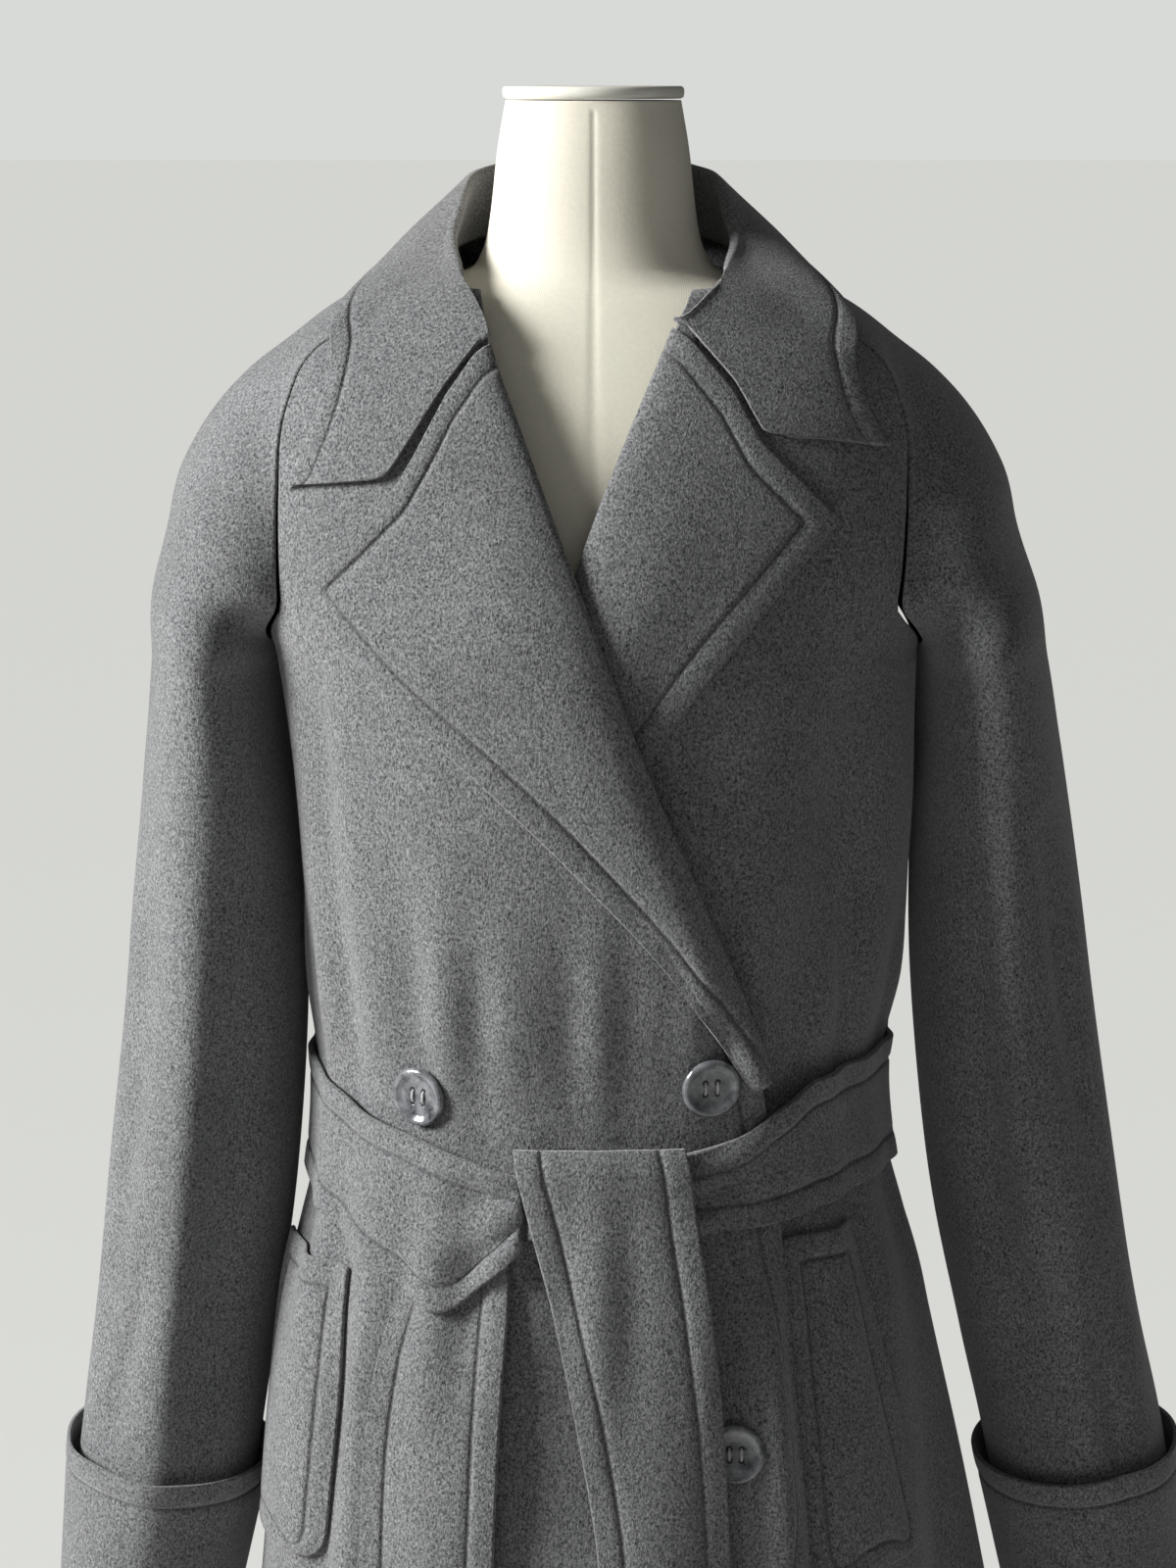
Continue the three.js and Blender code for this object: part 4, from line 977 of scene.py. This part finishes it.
class Sleeve:
    """A raglan sleeve and its turned-back cuff; side is -1 for the wearer's right."""

    sections = Table(
        "at centreR centreL z tilt reach depth span y",
        [
            (0, 60, 60, 1362, 68, 52, 72, 40, 0),
            (1, 88, 88, 1344, 66, 60, 85, 40, 0),
            (2, 114, 114, 1329, 60, 62, 85, 37, 0),
            (3, 137, 136, 1318, 50, 60, 76, 58, 0),
            (4, 156, 155, 1297, 22, 56, 78, 92, 0),
            (5, 174, 174, 1260, 14, 45, 88, 122, 0),
            (6, 195, 201, 1212, 8, 31, 84, 180, 0),
            (7, 195, 207, 1140, 6, 38, 78, 180, 0),
            (8, 197, 214, 1050, 6, 44, 73, 180, -2),
            (9, 208, 230, 930, 6, 47, 67, 180, -4),
            (10, 219, 246, 850, 6, 46, 61, 180, -6),
            (11, 229, 261, 785, 7, 46, 57, 180, -8),
            (12, 243, 276, 694, 7, 44, 54, 180, -10),
        ],
    )
    heights = [1402, 1388, 1372, 1350, 1325, 1300, 1272, 1245, 1228, 1215]
    folds = {
        -1: [
            SleeveFold(-112, 26, -7, 7, 11),
            SleeveFold(-84, 12, 3.5, 7.2, 12, -1),
            SleeveFold(-48, 16, -3, 6.8, 10.5, 4),
            SleeveFold(-20, 13, 3, 7, 11.6, -2),
            SleeveFold(-66, 9, -2.6, 9, 11.2, 7),
            SleeveFold(40, 20, -4, 7, 10.5, 6),
            SleeveFold(75, 14, 3.5, 7.5, 11, -3),
            SleeveFold(120, 20, -5, 7, 11),
        ],
        1: [
            SleeveFold(-112, 26, -7, 7, 11),
            SleeveFold(-88, 11, 4.5, 6.7, 9.6, -4),
            SleeveFold(-64, 9, -4.5, 6.9, 9.2, 8),
            SleeveFold(-30, 16, 3, 7, 11.5, -3),
            SleeveFold(-60, 10, -3, 9.4, 11.4, -6),
            SleeveFold(35, 20, -4, 7, 10.5, 6),
            SleeveFold(78, 14, 3.5, 7.5, 11, -3),
            SleeveFold(120, 20, -5, 7, 11),
        ],
    }

    def __init__(self, side: int) -> None:
        """Args: side: -1 for the wearer's right, 1 for the left."""
        self.side = side

    def point(self, at: Array, turn: Array, lift: Array) -> Array:
        """Point of an oval section, tilted with the arm, folds and all."""
        read = partial(self.sections.read, at=at)
        tilt = np.radians(read("tilt"))
        grow = lift + sum(fold.at(at, turn) for fold in self.folds[self.side])
        out = (read("reach") + grow) * np.cos(np.radians(turn))
        x = self.side * (read("centreR" if self.side < 0 else "centreL") + out * np.cos(tilt))
        y = read("y") + (read("depth") + grow) * np.sin(np.radians(turn))
        return np.stack([x, y, read("z") + out * np.sin(tilt)], -1)

    def place(self, down: Array, across: Array) -> Array:
        """Down to the armpit the two edges are drawn onto the raglan seams, by cubes of the share."""
        row = np.clip(down / YOKE_SHARE, 0, 1) * 9
        below = np.clip((down - YOKE_SHARE) / (1 - YOKE_SHARE), 0, 1)
        at = np.where(down <= YOKE_SHARE, ARMPIT_SECTION * row / 9, ARMPIT_SECTION + 6 * below)
        span = np.minimum(self.sections.read("span", at), 179.6)
        share = across if self.side > 0 else 1 - across
        point = self.point(at, lerp(-span, span, share), 0.0)
        z = np.interp(row, np.arange(10), self.heights)
        seam = np.minimum(BODY.side_seam(z) + GAP_ANGLE, 90 - GAP_ANGLE)
        clear = ARMPIT_CLEARANCE * smoothstep(row, 3, 9)
        front_lift = clear + (BODY.right_lift(-seam, z) if self.side < 0 else 0)
        back_seam = 180 - seam - NECK_EASE * smoothstep(z, 1366, 1390)
        kept = (1 - smoothstep(at, ARMPIT_SECTION, ARMPIT_SECTION + 0.6))[..., None]
        for end, angle, lift, weight in (
            (-span, seam, front_lift, (1 - share) ** 3),
            (span, back_seam, clear, share**3),
        ):
            pull = BODY.point(self.side * angle, z, lift) - self.point(at, end, 0.0)
            point = point + pull * weight[..., None] * kept
        return point

    def cuff(self, down: Array, across: Array) -> Array:
        """The cuff's ring stands off the sleeve most at its upper rim."""
        turn = lerp(-180.0, 180.0, across if self.side > 0 else 1 - across)
        return self.point(lerp(11.05, 12.0, down), turn, lerp(7.5, CLOTH + SEAM_GAP + 0.3, down))


class Belt:
    """The belt's course round the waist, its half knot and its two hanging ends."""

    course = Table(
        "angle top bottom lift",
        [
            (15.8, 983, 941, 12.6), (28, 989, 943, 12.6), (38, 1003, 945, 13), (48, 1013, 947, 8.6),
            (62, 1014, 948, 4.2), (120, 1012, 941, 3.8), (180, 1012, 938, 3.8), (268, 1011, 946, 4),
            (284, 1010, 945, 7.4), (300, 1004, 936, 12.4), (311, 995, 926, 13.8), (322, 990, 915, 17),
            (332, 983, 904, 16.6), (341, 977, 922, 16.6), (346.4, 974, 938, 16.4),
        ],
    )
    over = Table(
        "z from to lift",
        [
            (987, -35, 40, 20.6), (950, -27, 44, 20.6), (904, -17, 51, 19.8), (848, -7, 57, 19),
            (782, 2, 61, 18.4), (650, 9, 68, 15.6), (530, 14, 74, 13.6),
        ],
    )
    under = Table(
        "z from to lift",
        [
            (962, -80, -38, 12), (918, -87, -38, 12.2), (872, -98, -40, 16.4), (829, -103, -42, 18.8),
            (770, -107, -45, 17.2), (640, -112, -49, 14), (500, -116, -52, 12.8),
        ],
    )

    def waist(self, down: Array, across: Array) -> Array:
        """Round the body; it creases a little where it comes out of the knot."""
        angle = lerp(BELT_START, BELT_END, across)
        read = partial(self.course.read, at=angle)
        z = lerp(read("top"), read("bottom"), down)
        near = bump(angle - 20, 14) + bump(angle - 336, 18)
        crease = 1.3 * near * np.sin(2 * np.pi * (down * 2.1 + angle / 37))
        return BODY.point(angle, z, read("lift") + crease + 1.3 * near)

    def knot(self, down: Array, across: Array) -> Array:
        """The turn of the belt under the end tied over the top, pressed into two soft pleats."""
        angle = lerp(-13.2, 15.2, across)
        pleats = -1.1 * (1 - np.sin(np.pi * down)) + 0.5 * np.sin(4 * np.pi * down)
        return BODY.point(angle, lerp(982.0, 940.0, down), ON_RIGHT - 0.4 + pleats)

    def tail(self, course: Table, curl: float) -> Place:
        """An end of the belt down the front; its top rolls back over whatever it comes from."""

        def place(down: Array, across: Array) -> Array:
            """Down the front, hollowed a little across, from its height and its two edges."""
            z = lerp(course.keys[-1], course.keys[0], down)
            x = lerp(course.read("from", z), course.read("to", z), across)
            rolled = bump(down, 0.012) * curl
            hollow = 1.4 * np.cos(np.pi * (2 * across - 1)) * smoothstep(down, 0.1, 0.6)
            return BODY.front_point(x, z, course.read("lift", z) - rolled + hollow + 1.0)

        return place


@dataclass(frozen=True)
class Pocket:
    """A patch pocket between two angles, with its lower corners rounded."""

    inner: float
    outer_top: float
    outer_bottom: float
    top: float
    lift: float
    bottom: float = 757.0
    corner: float = 16.0

    def place(self, down: Array, across: Array) -> Array:
        """Each side is drawn in near the bottom by a quarter circle."""
        mirrored = self.inner < 0
        z = lerp(self.top, self.bottom, down)
        above = np.minimum((z - self.bottom) / self.corner, 1)
        inset = self.corner * (1 - np.sqrt(np.maximum(1 - (1 - above) ** 2, 0))) / 3.4
        sign = -1 if mirrored else 1
        first = self.inner + sign * inset
        last = lerp(self.outer_top, self.outer_bottom, down) - sign * inset
        angle = lerp(first, last, 1 - across if mirrored else across)
        lift = self.lift + (BODY.right_lift(angle, z) if mirrored else 0)
        puff = 1.2 * np.sin(np.pi * across) * np.sin(np.pi * np.clip(down, 0, 1)) ** 0.5
        return BODY.point(angle, z, lift + puff)


# ---------------------------------------------------------------- the object's assemblies


@dataclass(frozen=True)
class Cut:
    """What a piece was cut to before it was sewn, in metres, and how it lies."""

    flat: tuple[float, float]
    area: float
    held: Held
    rests_on: tuple[str, ...]


class CoatAssembly:
    """The coat: every cut piece, its buttons and their thread."""

    def __init__(self, finishes: Materials) -> None:
        """Args: finishes: the materials that the pieces are given."""
        self.finishes = finishes

    def add(self, node: str, wall: ClothWall, cut: Cut) -> None:
        made = wall.build()
        made.data.materials.append(self.finishes.wool)
        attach(made, "root")
        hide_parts(node)
        LOG.info("%s: %d triangles", made.name, 2 * len(made.data.polygons))

    def build(self) -> None:
        """Makes the cloth, then the buttons."""
        form = ("form_torso",)
        on_fronts = ("front_left", "front_right")
        pieces = [
            ("back", coat_back, 190, 90, (), 0, Cut((0.64, 1.23), 0.56, Held.DRAPED, form)),
            ("front_left", left_front, 190, 60, (Edge.LEFT, Edge.BOTTOM), 0,
             Cut((0.45, 1.2), 0.37, Held.DRAPED, form)),
            ("front_right", right_front, 190, 60, (Edge.RIGHT, Edge.BOTTOM), 0,
             Cut((0.42, 1.2), 0.36, Held.DRAPED, form)),
            ("lapel_left", LEFT_LAPEL.place, 70, 26, (Edge.TOP, Edge.RIGHT), 0,
             Cut((0.12, 0.4), 0.026, Held.FOLDED, ("front_left",))),
            ("lapel_right", RIGHT_LAPEL.place, 80, 26, (Edge.TOP, Edge.LEFT), 0,
             Cut((0.12, 0.42), 0.028, Held.FOLDED, ("front_right",))),
        ]
        for node, place, rows, columns, stitched, softened, cut in pieces:
            wall = ClothWall(f"cloth_{node}", place, rows, columns, CLOTH, False, stitched, softened)
            self.add(node, wall, cut)
        self.add(
            "collar",
            ClothWall("cloth_collar", Collar().place, 46, 150, CLOTH, False, (Edge.BOTTOM,), 3),
            Cut((0.62, 0.12), 0.06, Held.FOLDED, on_fronts),
        )
        for side, name in ((1, "left"), (-1, "right")):
            arm = Sleeve(side)
            self.add(
                f"sleeve_{name}",
                ClothWall(f"cloth_sleeve_{name}", arm.place, 170, 90, CLOTH, False, (), 1),
                Cut((0.45, 0.78), 0.26, Held.DRAPED, form),
            )
            self.add(
                f"cuff_{name}",
                ClothWall(f"cloth_cuff_{name}", arm.cuff, 22, 130, CLOTH, True, (Edge.TOP,)),
                Cut((0.34, 0.09), 0.03, Held.FOLDED, (f"sleeve_{name}",)),
            )
        for name, pocket in (
            ("left", Pocket(37.5, 56.5, 62.5, 932, CLOTH + 0.8)),
            ("right", Pocket(-50, -76, -82, 912, CLOTH + 1.4)),
        ):
            self.add(
                f"pocket_{name}",
                ClothWall(f"cloth_pocket_{name}", pocket.place, 30, 16, CLOTH, False, tuple(Edge)),
                Cut((0.1, 0.18), 0.013, Held.LAID, (f"front_{name}",)),
            )
        belt = Belt()
        long_edges, ends = (Edge.TOP, Edge.BOTTOM), (Edge.LEFT, Edge.RIGHT)
        for name, place, rows, columns, thick, stitched, cut in (
            ("belt_waist", belt.waist, 10, 230, BELT_CLOTH, long_edges,
             Cut((0.86, 0.072), 0.058, Held.HUNG, on_fronts)),
            ("belt_knot", belt.knot, 14, 24, 7.4, (), Cut((0.075, 0.045), 0.003, Held.FOLDED, on_fronts)),
            ("belt_tail_over", belt.tail(belt.over, 5.0), 110, 12, BELT_CLOTH, ends,
             Cut((0.075, 0.48), 0.03, Held.HUNG, ("belt_knot",))),
            ("belt_tail_under", belt.tail(belt.under, 1.5), 110, 12, BELT_CLOTH, ends,
             Cut((0.075, 0.48), 0.029, Held.HUNG, ("belt_waist",))),
        ):
            wall = ClothWall(f"cloth_{name}", place, rows, columns, thick, False, stitched)
            self.add(name, wall, cut)
        for name, x, z, rest in (
            ("upper_right", -79, 1008, 1.1), ("upper_left", 53, 1017, 0.9),
            ("lower_right", -74, 829, 0.6), ("lower_left", 66, 832, 0.6),
        ):
            self.button(name, x, z, rest)

    def button(self, name: str, x: float, z: float, rest: float) -> None:
        """A dished button with a raised rim and four holes, sewn on with two bars of thread."""
        lift = OVER + CLOTH + rest
        centre = BODY.front_point(x, z, lift)
        right = BODY.front_point(x + 12, z, lift) - BODY.front_point(x - 12, z, lift)
        up = BODY.front_point(x, z + 12, lift) - BODY.front_point(x, z - 12, lift)
        up /= np.linalg.norm(up)
        facing = np.cross(right, up)
        facing /= np.linalg.norm(facing)
        basis = np.stack([np.cross(up, facing), up, facing])
        profile = [(0.2, 2.4), (2, 2.4), (4.4, 2.45), (7, 2.5), (9.6, 2.9), (11, 3.6), (12.2, 4.3),
                   (13.2, 4.4), (14.2, 3.9), (14.9, 2.9), (15, 1.8), (14, 0.5), (12.6, 0)]
        knots = np.linspace(0, 1, len(profile))
        share = np.linspace(0, 1, 76)
        radius = np.interp(share, knots, [p[0] for p in profile])[:, None]
        height = np.interp(share, knots, [p[1] for p in profile])[:, None]
        turn = np.linspace(0, 2 * np.pi, 112, endpoint=False)[None]
        across, high = radius * np.cos(turn), radius * np.sin(turn)
        hole = BUTTON_HOLE_OFFSET
        off = np.hypot(np.abs(across) - hole, np.abs(high) - hole)
        dip = 1.9 * (1 - smoothstep(off, 0.9, 1.5)) * (height > 1)
        local = np.stack(np.broadcast_arrays(across, high, height - dip), -1)
        points = soften(local, 1).reshape(-1, 3) @ basis + centre
        made = make_object(f"horn_{name}", points, grid_quads(76, 112, True))
        poles = [(np.array([[0, 0, 2.4]]) @ basis + centre), (np.array([[0, 0, 0.0]]) @ basis + centre)]
        close_with_poles(made, poles, 76, 112)
        made.data.materials.append(self.finishes.horn)
        arc = np.linspace(0, np.pi, 14)
        bars = [
            np.stack([np.full(14, s * hole), -hole * np.cos(arc), 1.5 + 1.6 * np.sin(arc)], -1)
            @ basis
            + centre
            for s in (-1, 1)
        ]
        thread = tube(f"thread_{name}", bars, 0.75)
        thread.data.materials.append(self.finishes.thread)
        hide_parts(f"button_{name}")
        for piece in (made, thread):
            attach(piece, "root")
        LOG.info("button %s made", name)


class FormAssembly:
    """The limbless dress form, its neck cap, pole and base."""

    sections = Table(
        "z side front back",
        [
            (1493, 44.5, 44.5, 44.5), (1470, 48.5, 48.5, 48.5), (1430, 53.5, 52.5, 55), (1412, 60, 57, 63),
            (1403, 81, 62, 71), (1395, 114.5, 67, 78), (1380, 144.5, 74, 87), (1360, 162.5, 82, 95),
            (1320, 168, 97, 104), (1268, 156, 112, 106), (1230, 146, 118, 104), (1160, 134, 112, 96),
            (1080, 124, 98, 84), (1000, 120, 90, 79), (920, 132, 96, 92), (830, 150, 104, 108),
            (745, 147, 100, 104),
        ],
    )

    def __init__(self, finishes: Materials) -> None:
        """Args: finishes: the materials that the pieces are given."""
        self.finishes = finishes

    def torso(self) -> bpy.types.Object:
        """Oval sections with a sewn centre seam and a seam round the base of the neck."""
        rows, sides = 260, 240
        share = np.linspace(0, 1, rows)[:, None] ** 1.25
        z = lerp(TORSO_TOP, TORSO_BOTTOM, share)
        angle = np.linspace(0, 360, sides, endpoint=False)[None]
        read = partial(self.sections.read, at=z)
        radius = oval_radius(angle, read("side"), read("front"), read("back")) - 0.35
        seam = 0.6 * (bump(turn_between(angle, 0), 1.4) + bump(turn_between(angle, 180), 1.4))
        neck_line = 1409 + 6 * np.cos(np.radians(angle)) * -1
        seam = seam * (z < 1488) + 0.7 * bump(z - neck_line, 1.6)
        points = polar(angle, radius - seam, z + 0 * angle)
        made = make_object("linen_torso", points.reshape(-1, 3), grid_quads(rows, sides, True))
        ends = [np.array([[0, 0, height]]) for height in (TORSO_TOP, TORSO_BOTTOM)]
        close_with_poles(made, ends, rows, sides)
        return made

    def build(self) -> None:
        """Makes the torso, then the turned parts."""
        rounded = [(0, 1493.8), (44, 1493.8), (45.4, 1494.6), (45.7, 1496.5), (45.7, 1498.2)]
        rounded += [(45.2, 1499.4), (44, 1500), (30, 1500), (15, 1500), (0, 1500)]
        pole = [(0, 12.5), (15.6, 12.5), (16, 13), (16, 300), (16, 744), (15.6, 744.5), (0, 744.5)]
        base = [(0, 0), (198.6, 0), (199.6, 0.6), (200, 2), (200, 9.4), (199.2, 11.3), (197.6, 12)]
        base += [(150, 12), (60, 12), (0, 12)]
        for made, node, slot, material in (
            (self.torso(), "form_torso", "form_linen", self.finishes.linen),
            (lathe("cap_turned", rounded, 128), "neck_cap", "cap_paint", self.finishes.cap),
            (lathe("pole_turned", pole, 64), "stand_pole", "pole_steel", self.finishes.steel),
            (lathe("base_turned", base, 160), "stand_base", "base_paint", self.finishes.base),
        ):
            made.data.materials.append(material)
            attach(made, "root")
            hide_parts(node)
            LOG.info("%s made", made.name)


class Studio:
    """Pale floor, soft light from the upper left, and the camera."""

    def floor(self) -> None:
        """A wide floor whose brightness to the camera is held even."""
        size = 60000.0
        corners = np.array([[-size, size, 0], [-size, -size, 0], [size, -size, 0], [size, size, 0]])
        made = make_object("floor", corners - [0, 0, 0.5], np.array([[0, 1, 2, 3]]))
        material, make, shader = new_material("floor", 0.95)
        shader.inputs["Base Color"].default_value = colour(0.72, 0.72, 0.7)
        light = make.add("ShaderNodeEmission", {"Color": colour(0.72, 0.73, 0.7), "Strength": 1.0})
        share = make.maths("MULTIPLY", make.add("ShaderNodeLightPath").outputs["Is Camera Ray"], 0.9)
        mixed = make.add("ShaderNodeMixShader")
        links = material.node_tree.links
        links.new(share, mixed.inputs[0])
        links.new(shader.outputs[0], mixed.inputs[1])
        links.new(light.outputs[0], mixed.inputs[2])
        links.new(mixed.outputs[0], material.node_tree.nodes["Material Output"].inputs["Surface"])
        made.data.materials.append(material)

    def lights(self) -> None:
        """A large soft key from the wearer's right, a weak fill and a dim surround."""
        for name, place, size, power in (
            ("key", (-2.7, -0.75, 2.45), 1.1, 215.0),
            ("fill", (0.6, -2.8, 2.2), 2.4, 4.0),
        ):
            light = bpy.data.lights.new(name, "AREA")
            light.size, light.energy = size, power
            made = bpy.data.objects.new(name, light)
            made.location = place
            aim = Vector((0, 0, 1.15)) - made.location
            made.rotation_euler = aim.to_track_quat("-Z", "Y").to_euler()
            bpy.context.scene.collection.objects.link(made)
        world = bpy.data.worlds.new("surround")
        world.use_nodes = True
        make = Shader(world.node_tree)
        seen = make.add("ShaderNodeLightPath").outputs["Is Camera Ray"]
        strength = make.spread(seen, 0, 1, 0.1, 0.7)
        back = world.node_tree.nodes["Background"]
        back.inputs["Color"].default_value = colour(0.98, 1.0, 0.98)
        world.node_tree.links.new(strength, back.inputs["Strength"])
        bpy.context.scene.world = world

    def camera(self) -> None:
        """In front of the neck, looking 12 degrees down."""
        data = bpy.data.cameras.new("camera")
        data.lens, data.sensor_width, data.sensor_fit = 76.5, 36.0, "AUTO"
        made = bpy.data.objects.new("camera", data)
        made.location = (-0.0027, -1.710, 1.505)
        made.rotation_euler = (math.radians(90 - 12.0), 0, 0)
        bpy.context.scene.collection.objects.link(made)
        bpy.context.scene.camera = made

    def build(self) -> None:
        """Makes the whole stage."""
        self.floor()
        self.lights()
        self.camera()
        bpy.context.scene.view_settings.view_transform = "Standard"


def main() -> None:
    """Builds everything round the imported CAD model."""
    logging.basicConfig(level=logging.INFO, format="%(message)s")
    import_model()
    Studio().build()
    finishes = Materials()
    FormAssembly(finishes).build()
    CoatAssembly(finishes).build()


if __name__ == "__main__":
    main()
